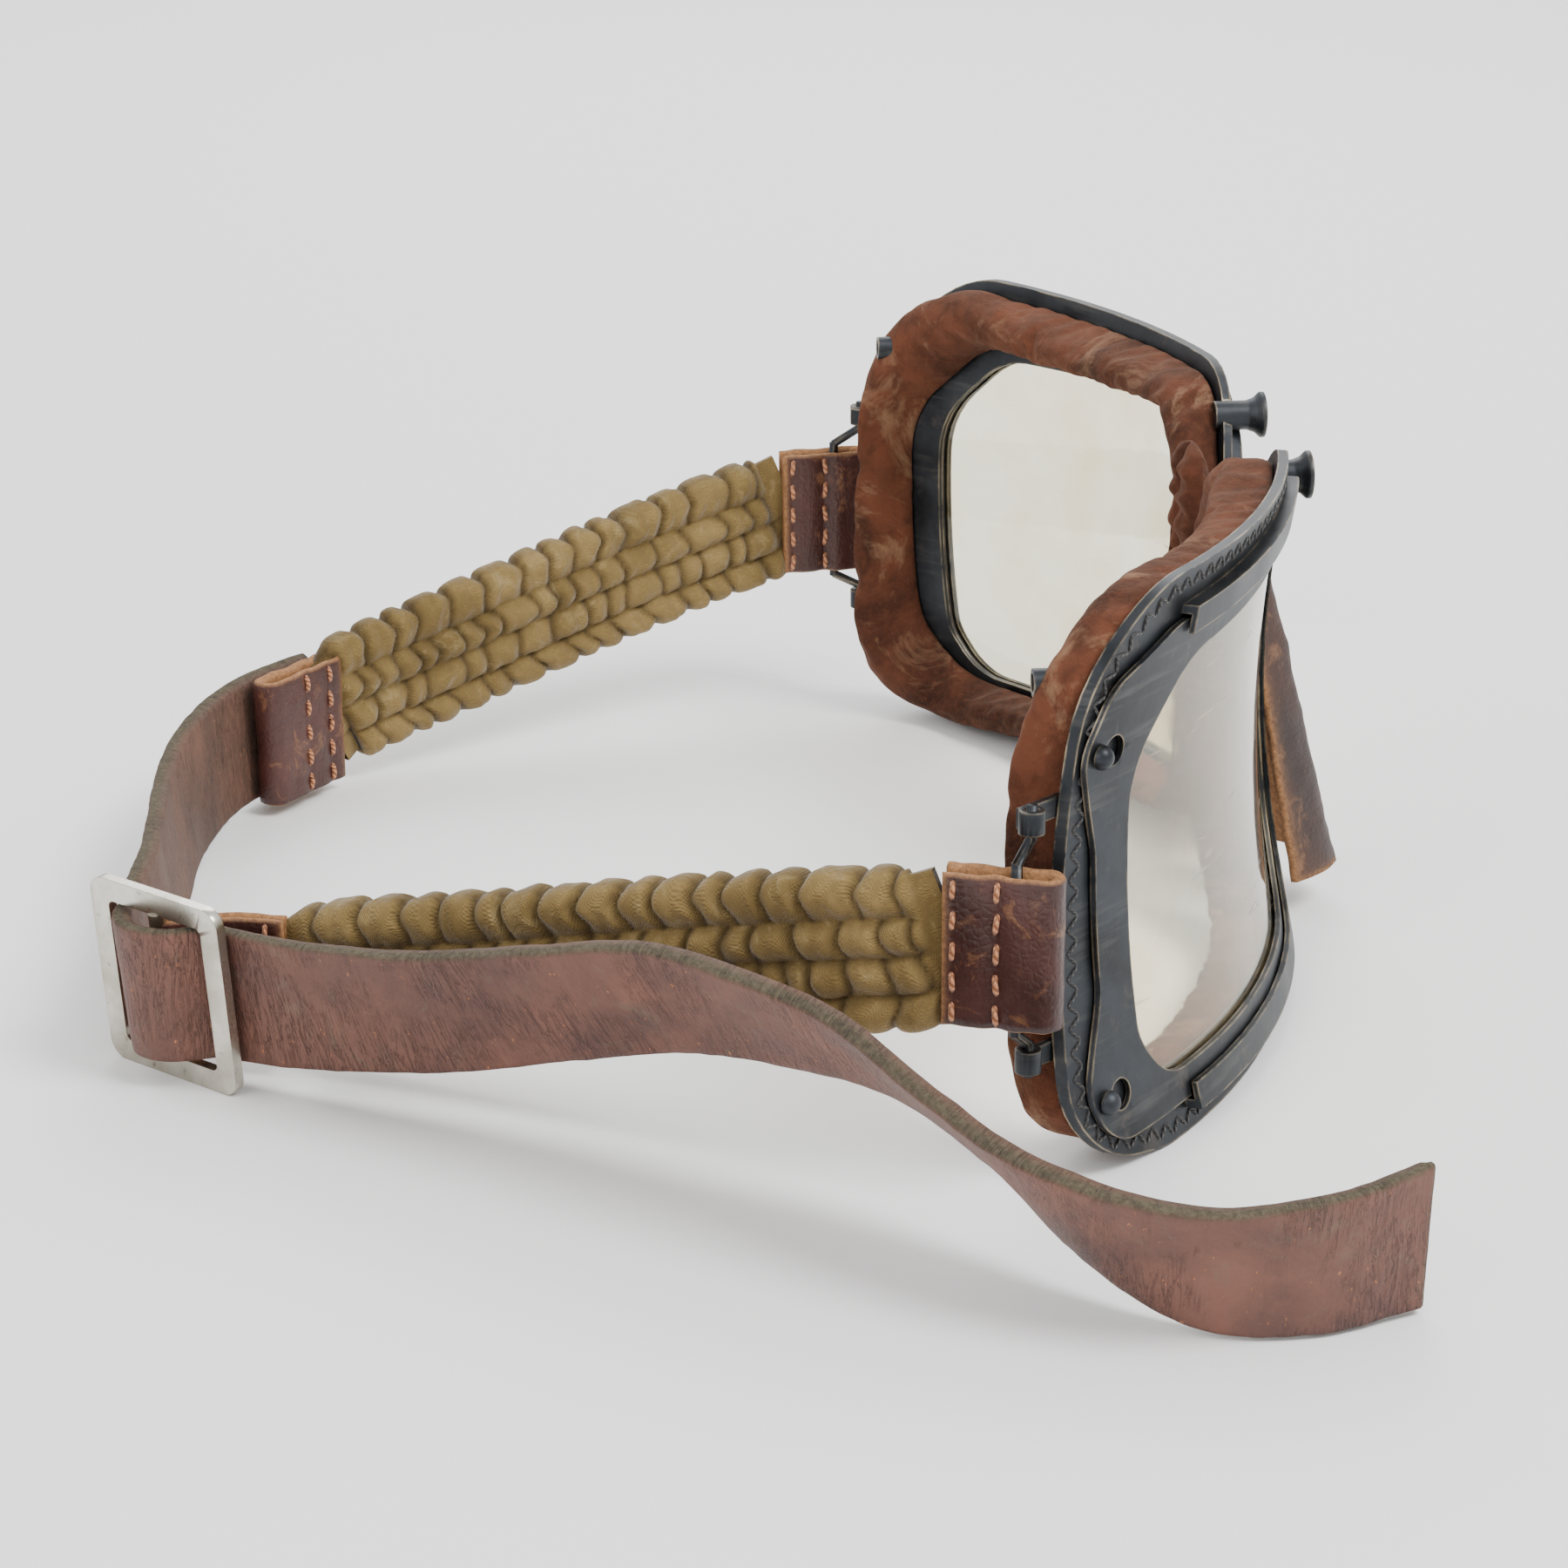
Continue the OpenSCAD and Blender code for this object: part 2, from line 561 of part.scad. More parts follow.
// The flap is a hood that widens downwards: sections of half-width r, front at ridge, cut off at back
flap_t = 1.2;
flap_low = 5;
flap_high = 44;
module flap_section(r, ridge, back) {
  intersection() {
    union() {
      translate([0, ridge + r]) circle(r, $fn = fine_fn);
      translate([-r, ridge + r]) square([2 * r, 20]);
    }
    translate([-20, ridge - 1]) square([40, back - ridge + 1]);
  }
}
module flap_form(in, past) {
  hull() {
    translate([0, 0, flap_high - 0.1]) linear_extrude(0.1 + past) flap_section(2.6 - in, in - 4.6, past - 1.1);
    translate([0, 0, flap_low - past]) linear_extrude(0.1 + past) flap_section(8 - in, in - 14.7, past - 8);
  }
}
module nose_flap() {
  color(tab_leather) difference() {
    flap_form(0, 0);
    flap_form(flap_t, 3);
  }
}
module nose_gusset() {
  color(suede) translate([-4.6, 3.4, 44]) difference() {
    cube([9.2, 3.6, 15]);
    translate([4.6, 3.6, -1]) cylinder(r = 1.6, h = 17, $fn = 32);
  }
}

eye_plate();  // left_eye_plate
other_side() eye_plate();  // right_eye_plate
bezel();  // left_bezel
other_side() bezel();  // right_bezel
lens();  // left_lens
other_side() lens();  // right_lens
lens_gasket();  // left_lens_gasket
other_side() lens_gasket();  // right_lens_gasket
bezel_studs();  // left_bezel_studs
other_side() bezel_studs();  // right_bezel_studs
vent_horn();  // left_vent_horn
other_side() vent_horn();  // right_vent_horn
outlet_tube();  // left_outlet_tube
other_side() outlet_tube();  // right_outlet_tube
face_pad();  // left_face_pad
other_side() face_pad();  // right_face_pad
pad_stitching();  // left_pad_stitching
other_side() pad_stitching();  // right_pad_stitching
loop_lugs();  // left_loop_lugs
other_side() loop_lugs();  // right_loop_lugs
wire_loop(left_tab);  // left_wire_loop
other_side() wire_loop(right_tab);  // right_wire_loop
front_tab(left_tab);  // left_front_tab
other_side() front_tab(right_tab);  // right_front_tab
front_tab_thread(left_tab);  // left_front_tab_thread
other_side() front_tab_thread(right_tab);  // right_front_tab_thread
elastic_cover(left_line);  // left_elastic_cover
elastic_cover(right_line);  // right_elastic_cover
elastic_core(left_line);  // left_elastic_core
elastic_core(right_line);  // right_elastic_core
left_rear_tab();
right_rear_tab();
left_rear_tab_thread();
right_rear_tab_thread();
hinge_leaf([1]);  // left_hinge_leaf
other_side() hinge_leaf([0, 2]);  // right_hinge_leaf
hinge_pin();
nose_flap();
nose_gusset();
strap();
buckle_frame();
buckle_bar();
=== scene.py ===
# Motorcycle goggles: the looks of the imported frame. Lengths are in millimetres until mesh_piece, which writes metres.
import math
import random

import bmesh
import bpy
import numpy as np
from mathutils import Matrix, Vector, noise


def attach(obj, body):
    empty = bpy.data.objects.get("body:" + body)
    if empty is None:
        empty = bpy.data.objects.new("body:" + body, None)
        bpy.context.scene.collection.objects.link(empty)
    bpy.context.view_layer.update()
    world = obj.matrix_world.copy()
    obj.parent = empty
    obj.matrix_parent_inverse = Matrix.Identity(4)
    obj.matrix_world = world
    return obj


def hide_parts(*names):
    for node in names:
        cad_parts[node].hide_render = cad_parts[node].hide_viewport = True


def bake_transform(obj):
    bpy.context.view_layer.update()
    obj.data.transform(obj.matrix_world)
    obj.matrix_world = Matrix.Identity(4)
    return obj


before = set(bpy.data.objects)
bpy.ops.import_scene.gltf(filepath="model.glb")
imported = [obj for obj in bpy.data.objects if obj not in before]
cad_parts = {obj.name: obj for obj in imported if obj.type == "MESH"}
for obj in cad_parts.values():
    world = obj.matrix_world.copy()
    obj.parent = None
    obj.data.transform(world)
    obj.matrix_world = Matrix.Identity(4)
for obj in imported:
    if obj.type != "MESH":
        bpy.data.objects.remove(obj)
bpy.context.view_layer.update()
nodes = {o.name: o for o in bpy.data.objects if o.type == "MESH"}
MM = 0.001
RNG = random.Random(11)


# ---------------------------------------------------------------- camera, light and floor
CAMERA_AT = (-0.4717, 0.0963, 0.1897)  # metres
CAMERA_TURN, CAMERA_FALL, CAMERA_ROLL = 264.9, 20.0, -0.33  # degrees
CAMERA_LENS = 95.1


def make_camera():
    turn, fall, roll = (math.radians(a) for a in (CAMERA_TURN, CAMERA_FALL, CAMERA_ROLL))
    ahead = Vector((-math.sin(turn) * math.cos(fall), math.cos(turn) * math.cos(fall), -math.sin(fall)))
    right = ahead.cross(Vector((0, 0, 1))).normalized()
    up = right.cross(ahead)
    side = right * math.cos(roll) + up * math.sin(roll)
    top = up * math.cos(roll) - right * math.sin(roll)
    data = bpy.data.cameras.new("camera")
    data.lens, data.sensor_width, data.clip_start, data.clip_end = CAMERA_LENS, 36.0, 0.01, 30.0
    cam = bpy.data.objects.new("camera", data)
    facing = Matrix((side, top, -ahead)).transposed().to_4x4()
    cam.matrix_world = Matrix.Translation(CAMERA_AT) @ facing
    bpy.context.scene.collection.objects.link(cam)
    bpy.context.scene.camera = cam


LIGHTS_AIM = Vector((0, 0.05, 0.02))


def area_light(name, at, size, power):
    data = bpy.data.lights.new(name, "AREA")
    data.shape, data.size, data.energy = "DISK", size, power
    lamp = bpy.data.objects.new(name, data)
    lamp.location = at
    lamp.rotation_euler = (LIGHTS_AIM - Vector(at)).to_track_quat("-Z", "Y").to_euler()
    bpy.context.scene.collection.objects.link(lamp)


def make_stage():
    world = bpy.data.worlds.new("studio")
    world.use_nodes = True
    back = world.node_tree.nodes["Background"]
    back.inputs["Color"].default_value = (1.0, 1.0, 1.0, 1)
    back.inputs["Strength"].default_value = 1.15
    bpy.context.scene.world = world
    area_light("key", (-0.45, -0.5, 0.95), 0.5, 12)
    area_light("fill", (-0.7, 0.8, 0.6), 0.7, 4)
    area_light("rim", (0.7, 0.0, 0.6), 0.6, 4)
    bpy.ops.mesh.primitive_plane_add(size=8, location=(0, 0, -0.00002))
    floor = bpy.context.object
    floor.name = "floor"
    paint = Paint("studio_floor")
    paint.put("Base Color", (0.93, 0.93, 0.93, 1))
    paint.put("Roughness", 0.9)
    floor.data.materials.append(paint.mat)


# ---------------------------------------------------------------- materials
class Paint:
    """A Principled material and short ways to add the procedural nodes that feed it."""

    def __init__(self, name):
        self.mat = bpy.data.materials.new(name)
        self.mat.use_nodes = True
        self.tree = self.mat.node_tree
        self.bsdf = self.tree.nodes["Principled BSDF"]
        self.where = self.tree.nodes.new("ShaderNodeTexCoord").outputs["Object"]

    def put(self, socket, value):
        self.feed(self.bsdf.inputs[socket], value)

    def feed(self, socket, value):
        if isinstance(value, bpy.types.NodeSocket):
            self.tree.links.new(value, socket)
        else:
            socket.default_value = value

    def add(self, kind, out=0, **feeds):
        node = self.tree.nodes.new(kind)
        for key, value in feeds.items():
            if hasattr(node, key):
                setattr(node, key, value)
            else:
                self.feed(node.inputs[int(key[1:])] if key[0] == "i" and key[1:].isdigit()
                          else node.inputs[key.replace("_", " ")], value)
        return node.outputs[out]

    def noise(self, scale, detail=4.0, rough=0.55, warp=0.0, where=None):
        return self.add("ShaderNodeTexNoise", Vector=where or self.where, Scale=scale, Detail=detail,
                        Roughness=rough, Distortion=warp)

    def stretch(self, x, y, z, where=None):
        return self.add("ShaderNodeMapping", Vector=where or self.where, Scale=(x, y, z))

    def attr(self, name):
        return self.add("ShaderNodeAttribute", 2, attribute_name=name)

    def calc(self, how, a, b=0.0, clamp=False):
        return self.add("ShaderNodeMath", operation=how, use_clamp=clamp, i0=a, i1=b)

    def fit(self, value, low, high):
        return self.add("ShaderNodeMapRange", i0=value, i1=low, i2=high, i3=0.0, i4=1.0)

    def blend(self, share, a, b):
        node = self.tree.nodes.new("ShaderNodeMix")
        node.data_type = "RGBA"
        self.feed(node.inputs[0], share)
        self.feed(node.inputs[6], a)
        self.feed(node.inputs[7], b)
        return node.outputs[2]

    def bump(self, height, depth, strength=1.0, under=None):
        node = self.tree.nodes.new("ShaderNodeBump")
        self.feed(node.inputs["Height"], height)
        node.inputs["Distance"].default_value = depth
        node.inputs["Strength"].default_value = strength
        if under is not None:
            self.feed(node.inputs["Normal"], under)
        return node.outputs[0]

    def edges(self, radius):
        """1 along sharp edges, 0 on open faces."""
        soft = self.add("ShaderNodeBevel", samples=4, Radius=radius)
        true = self.add("ShaderNodeNewGeometry", 1)
        node = self.tree.nodes.new("ShaderNodeVectorMath")
        node.operation = "DOT_PRODUCT"
        self.feed(node.inputs[0], soft)
        self.feed(node.inputs[1], true)
        return self.fit(node.outputs[1], 0.985, 0.93)


def rgb(r, g, b):
    """The linear colour of an 8-bit one."""
    return tuple(((c / 255) / 12.92 if c <= 10 else ((c / 255 + 0.055) / 1.055) ** 2.4) for c in (r, g, b)) + (1,)



def darker(c):
    return (c[0] * 0.4, c[1] * 0.4, c[2] * 0.4, 1)


def steel_paint():
    p = Paint("blackened_steel")
    cloud = p.noise(90, 5, 0.6)
    fine = p.noise(900, 4, 0.6)
    streak = p.noise(400, 3, 0.6, where=p.stretch(0.15, 0.15, 1.6))
    base = p.blend(p.fit(cloud, 0.35, 0.7), rgb(36, 38, 41), rgb(66, 69, 73))
    base = p.blend(p.calc("MULTIPLY", p.fit(streak, 0.55, 0.75), 0.35), base, rgb(100, 99, 95))
    dirt = p.fit(p.noise(220, 5, 0.7), 0.58, 0.72)
    base = p.blend(p.calc("MULTIPLY", dirt, 0.55), base, rgb(62, 50, 40))
    worn = p.calc("MULTIPLY", p.edges(0.00035), p.fit(p.noise(260, 4, 0.6), 0.36, 0.6))
    base = p.blend(p.calc("MULTIPLY", worn, 0.8), base, rgb(176, 160, 132))
    p.put("Base Color", base)
    p.put("Metallic", p.calc("SUBTRACT", 0.85, p.calc("MULTIPLY", dirt, 0.5)))
    p.put("Roughness", p.add("ShaderNodeMapRange", i0=cloud, i1=0.3, i2=0.75, i3=0.34, i4=0.56))
    p.put("Normal", p.bump(fine, 0.00003, 0.5))
    return p.mat


def nickel_paint():
    p = Paint("nickel")
    cloud = p.noise(120, 5, 0.6)
    base = p.blend(p.fit(cloud, 0.4, 0.7), rgb(208, 203, 192), rgb(160, 153, 138))
    pits = p.fit(p.noise(700, 4, 0.7), 0.62, 0.72)
    base = p.blend(p.calc("MULTIPLY", pits, 0.6), base, rgb(96, 84, 62))
    grime = p.calc("MULTIPLY", p.edges(0.0003), p.fit(p.noise(200), 0.4, 0.6))
    base = p.blend(p.calc("MULTIPLY", grime, 0.5), base, rgb(110, 98, 76))
    p.put("Base Color", base)
    p.put("Metallic", 1.0)
    p.put("Roughness", p.add("ShaderNodeMapRange", i0=cloud, i1=0.3, i2=0.75, i3=0.2, i4=0.42))
    p.put("Normal", p.bump(p.noise(1100, 3, 0.6, where=p.stretch(1, 1, 0.2)), 0.00003, 0.5))
    return p.mat


def lens_paint():
    p = Paint("straw_lens")
    haze = p.noise(70, 4, 0.6)
    marks = p.fit(p.noise(300, 2, 0.5, warp=2.0, where=p.stretch(0.25, 0.25, 2.2)), 0.68, 0.74)
    p.put("Base Color", p.blend(p.fit(haze, 0.4, 0.7), rgb(250, 244, 220), rgb(240, 228, 192)))
    p.put("Transmission Weight", 1.0)
    p.put("IOR", 1.45)
    p.put("Roughness", p.calc("ADD", p.calc("MULTIPLY", marks, 0.22), p.add(
        "ShaderNodeMapRange", i0=haze, i1=0.4, i2=0.75, i3=0.02, i4=0.1)))
    p.put("Normal", p.bump(p.noise(45, 2, 0.5), 0.0001, 0.35))
    return p.mat


def rubber_paint():
    p = Paint("black_rubber")
    cloud = p.noise(300, 5, 0.6)
    p.put("Base Color", p.blend(p.fit(cloud, 0.4, 0.7), rgb(34, 31, 29), rgb(66, 58, 51)))
    p.put("Roughness", p.add("ShaderNodeMapRange", i0=cloud, i1=0.3, i2=0.7, i3=0.6, i4=0.85))
    p.put("Normal", p.bump(p.noise(1500, 4, 0.6), 0.00005, 0.6))
    return p.mat


def suede_paint(name, light, dark, dust=0.5):
    p = Paint(name)
    cloud = p.noise(75, 6, 0.62, warp=0.6)
    nap = p.noise(1300, 5, 0.7, warp=0.4)
    rub = p.noise(260, 6, 0.66, warp=0.8)
    base = p.blend(p.fit(cloud, 0.36, 0.66), dark, light)
    base = p.blend(p.calc("MULTIPLY", p.fit(nap, 0.45, 0.7), 0.45), base, light)
    base = p.blend(p.calc("MULTIPLY", p.fit(rub, 0.5, 0.68), 0.5), base, dark)
    base = p.blend(p.calc("MULTIPLY", p.fit(p.noise(45, 6, 0.7, warp=1.4), 0.56, 0.72), dust), base,
                   rgb(176, 142, 110))
    p.put("Base Color", base)
    p.put("Roughness", 0.93)
    p.put("Specular IOR Level", 0.2)
    p.put("Sheen Weight", 0.12)
    p.put("Sheen Roughness", 0.5)
    p.put("Sheen Tint", rgb(220, 180, 150))
    rough = p.bump(rub, 0.0005, 0.7)
    p.put("Normal", p.bump(nap, 0.00022, 0.9, rough))
    return p.mat


def leather_paint(name, face, deep, raw, shine=0.4, across_cracks=0.0, specks=0.0):
    """Leather with a `cut` attribute, 1 on raw edges, and `along` and `across` in metres."""
    p = Paint(name)
    place = p.add("ShaderNodeCombineXYZ", X=p.attr("along"), Y=p.attr("across"), Z=0.0)
    cut = p.attr("cut")
    cloud = p.noise(60, 5, 0.62, warp=0.5)
    grain = p.add("ShaderNodeTexVoronoi", feature="DISTANCE_TO_EDGE", Vector=p.where, Scale=1100.0)
    crease = p.noise(120, 5, 0.7, warp=0.6, where=p.stretch(3.4, 0.5, 1, place))
    base = p.blend(p.fit(cloud, 0.36, 0.66), deep, face)
    scuff = p.fit(p.noise(190, 6, 0.72, warp=1.0), 0.56, 0.7)
    base = p.blend(p.calc("MULTIPLY", scuff, 0.35), base, raw)
    dark = p.fit(crease, 0.42, 0.3)
    base = p.blend(p.calc("MULTIPLY", dark, 0.3), base, darker(deep))
    height = crease
    if across_cracks:
        crack = p.noise(170, 6, 0.75, warp=0.9, where=p.stretch(7.0, 0.7, 1, place))
        line = p.calc("MULTIPLY", p.fit(p.calc("ABSOLUTE", p.calc("SUBTRACT", crack, 0.5)), 0.018, 0.0),
                      p.fit(p.noise(80, 4, 0.6), 0.42, 0.6))
        base = p.blend(p.calc("MULTIPLY", line, across_cracks), base, darker(deep))
        height = p.calc("SUBTRACT", height, p.calc("MULTIPLY", line, 0.5))
    if specks:
        speck = p.fit(p.noise(620, 3, 0.7, where=p.stretch(2.2, 1, 1, place)), 0.66, 0.72)
        base = p.blend(p.calc("MULTIPLY", speck, specks), base, rgb(196, 122, 66))
    fuzz = p.noise(1700, 5, 0.75)
    edge = p.blend(p.fit(fuzz, 0.35, 0.7), darker(raw), raw)
    base = p.blend(cut, base, edge)
    p.put("Base Color", base)
    p.put("Roughness", p.calc("ADD", p.calc("MULTIPLY", cut, 0.45, True), p.add(
        "ShaderNodeMapRange", i0=cloud, i1=0.3, i2=0.7, i3=shine, i4=shine + 0.16), True))
    p.put("Specular IOR Level", 0.45)
    low = p.bump(height, 0.0004, 0.7)
    mid = p.bump(p.fit(grain, 0.0, 0.25), 0.00006, 0.5, low)
    p.put("Normal", p.bump(p.calc("MULTIPLY", fuzz, p.calc("ADD", cut, 0.12)), 0.0003, 0.7, mid))
    return p.mat


def cloth_paint():
    """Plain-woven ruched cloth, from `along`, `across` and `crease`, 1 in the bottom of a fold, where the colour is
    darkened as painted shade.
    """
    p = Paint("olive_cloth")
    warp = p.add("ShaderNodeMath", operation="SINE", i0=p.calc("MULTIPLY", p.attr("along"), 12500.0))
    weft = p.add("ShaderNodeMath", operation="SINE", i0=p.calc("MULTIPLY", p.attr("across"), 12500.0))
    weave = p.calc("MULTIPLY", warp, weft)
    cloud = p.noise(70, 6, 0.65, warp=0.6)
    base = p.blend(p.fit(cloud, 0.36, 0.68), rgb(108, 88, 50), rgb(148, 124, 78))
    base = p.blend(p.calc("MULTIPLY", p.fit(weave, -1.0, 1.0), 0.3), base, rgb(98, 80, 46))
    base = p.blend(p.calc("MULTIPLY", p.fit(p.noise(240, 6, 0.7, warp=1.0), 0.55, 0.7), 0.3), base,
                   rgb(186, 168, 124))
    # painted shade: the `crease` attribute darkens the cloth in the bottoms of the folds and along the shirring lines
    base = p.blend(p.calc("MULTIPLY", p.attr("crease"), 0.8), base, rgb(46, 34, 18))
    p.put("Base Color", base)
    p.put("Roughness", 0.88)
    p.put("Specular IOR Level", 0.2)
    p.put("Sheen Weight", 0.25)
    p.put("Sheen Roughness", 0.4)
    low = p.bump(p.noise(420, 5, 0.65, warp=0.5), 0.0003, 0.6)
    p.put("Normal", p.bump(weave, 0.00006, 0.7, low))
    return p.mat


def thread_paint(name, face, deep):
    """Twisted thread: the strands run slantwise round it, from `along` and `round`."""
    p = Paint(name)
    turn = p.calc("ADD", p.calc("MULTIPLY", p.attr("along"), 9000.0), p.calc("MULTIPLY", p.attr("round"), 12.566))
    strand = p.add("ShaderNodeMath", operation="SINE", i0=turn)
    base = p.blend(p.fit(strand, -0.9, 0.4), deep, face)
    base = p.blend(p.calc("MULTIPLY", p.fit(p.noise(900, 4, 0.7), 0.5, 0.7), 0.4), base, deep)
    p.put("Base Color", base)
    p.put("Roughness", 0.7)
    p.put("Sheen Weight", 0.2)
    p.put("Normal", p.bump(strand, 0.00007, 0.8))
    return p.mat


# ---------------------------------------------------------------- mesh helpers
def mesh_piece(name, verts, faces, paint, attributes=None):
    mesh = bpy.data.meshes.new(name)
    mesh.from_pydata([(x * MM, y * MM, z * MM) for x, y, z in verts], [], faces)
    for key, values in (attributes or {}).items():
        mesh.attributes.new(key, "FLOAT", "POINT").data.foreach_set("value", np.asarray(values, np.float32))
    grid = bmesh.new()
    grid.from_mesh(mesh)
    bmesh.ops.recalc_face_normals(grid, faces=grid.faces)
    grid.to_mesh(mesh)
    grid.free()
    mesh.polygons.foreach_set("use_smooth", [True] * len(mesh.polygons))
    mesh.materials.append(paint)
    piece = bpy.data.objects.new(name, mesh)
    bpy.context.scene.collection.objects.link(piece)
    return piece


def tube_faces(rings, around, closed, start=0, caps=True):
    """Quads between rings of `around` points each, and end caps unless the rings close on themselves."""
    faces = []
    for i in range(rings if closed else rings - 1):
        a, b = start + i * around, start + ((i + 1) % rings) * around
        faces += [(a + k, a + (k + 1) % around, b + (k + 1) % around, b + k) for k in range(around)]
    if caps and not closed:
        faces += [tuple(start + k for k in range(around))[::-1],
                  tuple(start + (rings - 1) * around + k for k in range(around))]
    return faces


def resample(points, step):
    """Points every `step` or so along a polyline of any dimension."""
    pts = np.asarray(points, float)
    run = np.concatenate([[0], np.cumsum(np.linalg.norm(np.diff(pts, axis=0), axis=1))])
    marks = np.linspace(0, run[-1], max(3, int(round(run[-1] / step)) + 1))
    return np.stack([np.interp(marks, run, pts[:, k]) for k in range(pts.shape[1])], axis=1), marks


def catmull(points, per_span):
    pts = [np.asarray(p, float) for p in points]
    out = []
    for i in range(len(pts) - 1):
        a, b, c, d = pts[max(0, i - 1)], pts[i], pts[i + 1], pts[min(len(pts) - 1, i + 2)]
        for k in range(per_span):
            f = k / per_span
            out.append(0.5 * (2 * b + (c - a) * f + (2 * a - 5 * b + 4 * c - d) * f * f
                              + (3 * b - a - 3 * c + d) * f ** 3))
    return np.array(out + [pts[-1]])


def rough(x, y, z, scale, seed=0.0):
    """Smooth noise from -1 to 1 at a place in millimetres."""
    return noise.noise(Vector((x / scale + seed, y / scale - seed, z / scale + 2 * seed)))


def strip_section(half, thick, count=22):
    """A flat band's outline, [across, deep, cut]; its long edges are rounded and cut."""
    r = min(thick / 2, 0.45)
    flat = np.linspace(-(half - r), half - r, count)
    turn = np.radians([30, 60, 90])
    one = [(a, thick / 2, 0.0) for a in flat]
    one += [(half - r + r * math.sin(t), thick / 2 - r + r * math.cos(t), min(1.0, 0.35 + 0.4 * i))
            for i, t in enumerate(turn)]
    if thick > 2 * r + 0.1:
        one += [(half, 0.0, 1.0)]
    return one + [(-a, -b, c) for a, b, c in one]


def strip(name, centre, up, half, thick, paint, seed=1.0, wave=0.12, back_cut=0.0, end_cut=True):
    """A leather band swept along `centre`, its width along `up`. back_cut marks the inner face as raw."""
    section = strip_section(half, thick)
    n = len(centre)
    run = np.concatenate([[0], np.cumsum(np.linalg.norm(np.diff(centre, axis=0), axis=1))])
    verts, along, across, cut = [], [], [], []
    for i in range(n):
        way = centre[min(n - 1, i + 1)] - centre[max(0, i - 1)]
        way = way / np.linalg.norm(way)
        u = up[i] - way * float(np.dot(up[i], way))
        u = u / np.linalg.norm(u)
        out = np.cross(way, u)
        near_end = min(run[i], run[-1] - run[i])
        pinch = 1 - 0.35 * math.exp(-near_end / 0.25)
        for a, b, c in section:
            p = centre[i] + u * a + out * b * pinch
            ripple = wave * rough(*p, 4.5, seed) + 0.4 * wave * rough(*p, 1.6, seed)
            edge = 0.8 * wave * rough(run[i], 9.0 if a > 0 else -9.0, 0, 2.2, seed) * abs(a) / half
            p = p + out * ripple * (1 if b > 0 else 0.7) + u * edge
            verts.append(p)
            along.append(run[i] * MM)
            across.append(a * MM)
            soft = max(c, back_cut if b < 0 else 0.0, math.exp(-near_end / 0.3) if end_cut else 0.0)
            cut.append(min(1.0, soft))
    return mesh_piece(name, verts, tube_faces(n, len(section), False), paint,
                      {"along": along, "across": across, "cut": cut})


def thread_bits(name, bits, radius, paint, around=10):
    """One piece of many short threads; each bit is a list of points."""
    verts, faces, along, turn = [], [], [], []
    for bit in bits:
        pts = np.asarray(bit, float)
        n, start = len(pts), len(verts)
        for i in range(n):
            way = pts[min(n - 1, i + 1)] - pts[max(0, i - 1)]
            way = way / np.linalg.norm(way)
            side = np.cross(way, (0.31, 0.22, 0.92))
            side = side / np.linalg.norm(side)
            top = np.cross(way, side)
            size = radius * (0.55 if i in (0, n - 1) else 1.0)
            for k in range(around):
                t = 2 * math.pi * k / around
                verts.append(pts[i] + size * (math.cos(t) * side + math.sin(t) * top))
                along.append(float(np.linalg.norm(pts[i] - pts[0])) * MM)
                turn.append(k / around)
        faces += tube_faces(n, around, False, start)
    return mesh_piece(name, verts, faces, paint, {"along": along, "round": turn})


def fold(points, gaps, arc_steps=14):
    """A band folded round the last point: out along one side, round the bend and back. Plan points only."""
    pts = np.asarray(points, float)
    n = len(pts)
    sides = []
    for i in range(n):
        way = pts[min(n - 1, i + 1)] - pts[max(0, i - 1)]
        way = way / np.linalg.norm(way)
        sides.append(np.array([-way[1], way[0]]))
    one = [pts[i] + sides[i] * gaps[i] for i in range(n)]
    other = [pts[i] - sides[i] * gaps[i] for i in range(n)]
    base = math.atan2(sides[-1][1], sides[-1][0])
    bend = [pts[-1] + gaps[-1] * np.array([math.cos(base - math.pi * k / arc_steps),
                                           math.sin(base - math.pi * k / arc_steps)])
            for k in range(1, arc_steps)]
    return np.array(one + bend + other[::-1])


def upright(plan, low, high, step=0.45):
    """3D centre line and up vectors of an upright band standing over a plan line."""
    line, _ = resample(plan, step)
    mid = (low + high) / 2
    centre = np.column_stack([line, np.full(len(line), mid)])
    return centre, np.tile([0.0, 0.0, 1.0], (len(line), 1))


# ---------------------------------------------------------------- eye frame geometry, as in the CAD source
def eye_point(side, u, z, n):
    radius = 249 - math.sqrt((150 + n) ** 2 - (z - 36) ** 2)
    deep = 99 - math.sqrt(radius * radius - u * u)
    c, s = math.cos(math.radians(25)), math.sin(math.radians(25))
    return np.array([side * (45.8 + u * c - deep * s), 8.4 + u * s + deep * c, z])


PLATE = [[-38.5, 51, 12], [-42, 34, 60], [-41, 18, 14], [-24, 0.6, 16], [27, 0, 14], [41.5, 3, 10],
         [39.5, 30, 60], [37.6, 55.5, 16], [27.5, 63.5, 14], [-32, 63.5, 12]]
PAD_HOLE = [[-33.5, 51, 9], [-36, 30, 60], [-31.5, 7, 13], [27, 7, 8], [34, 14, 8], [34, 44, 12], [22, 55, 12],
            [-25, 57, 9]]


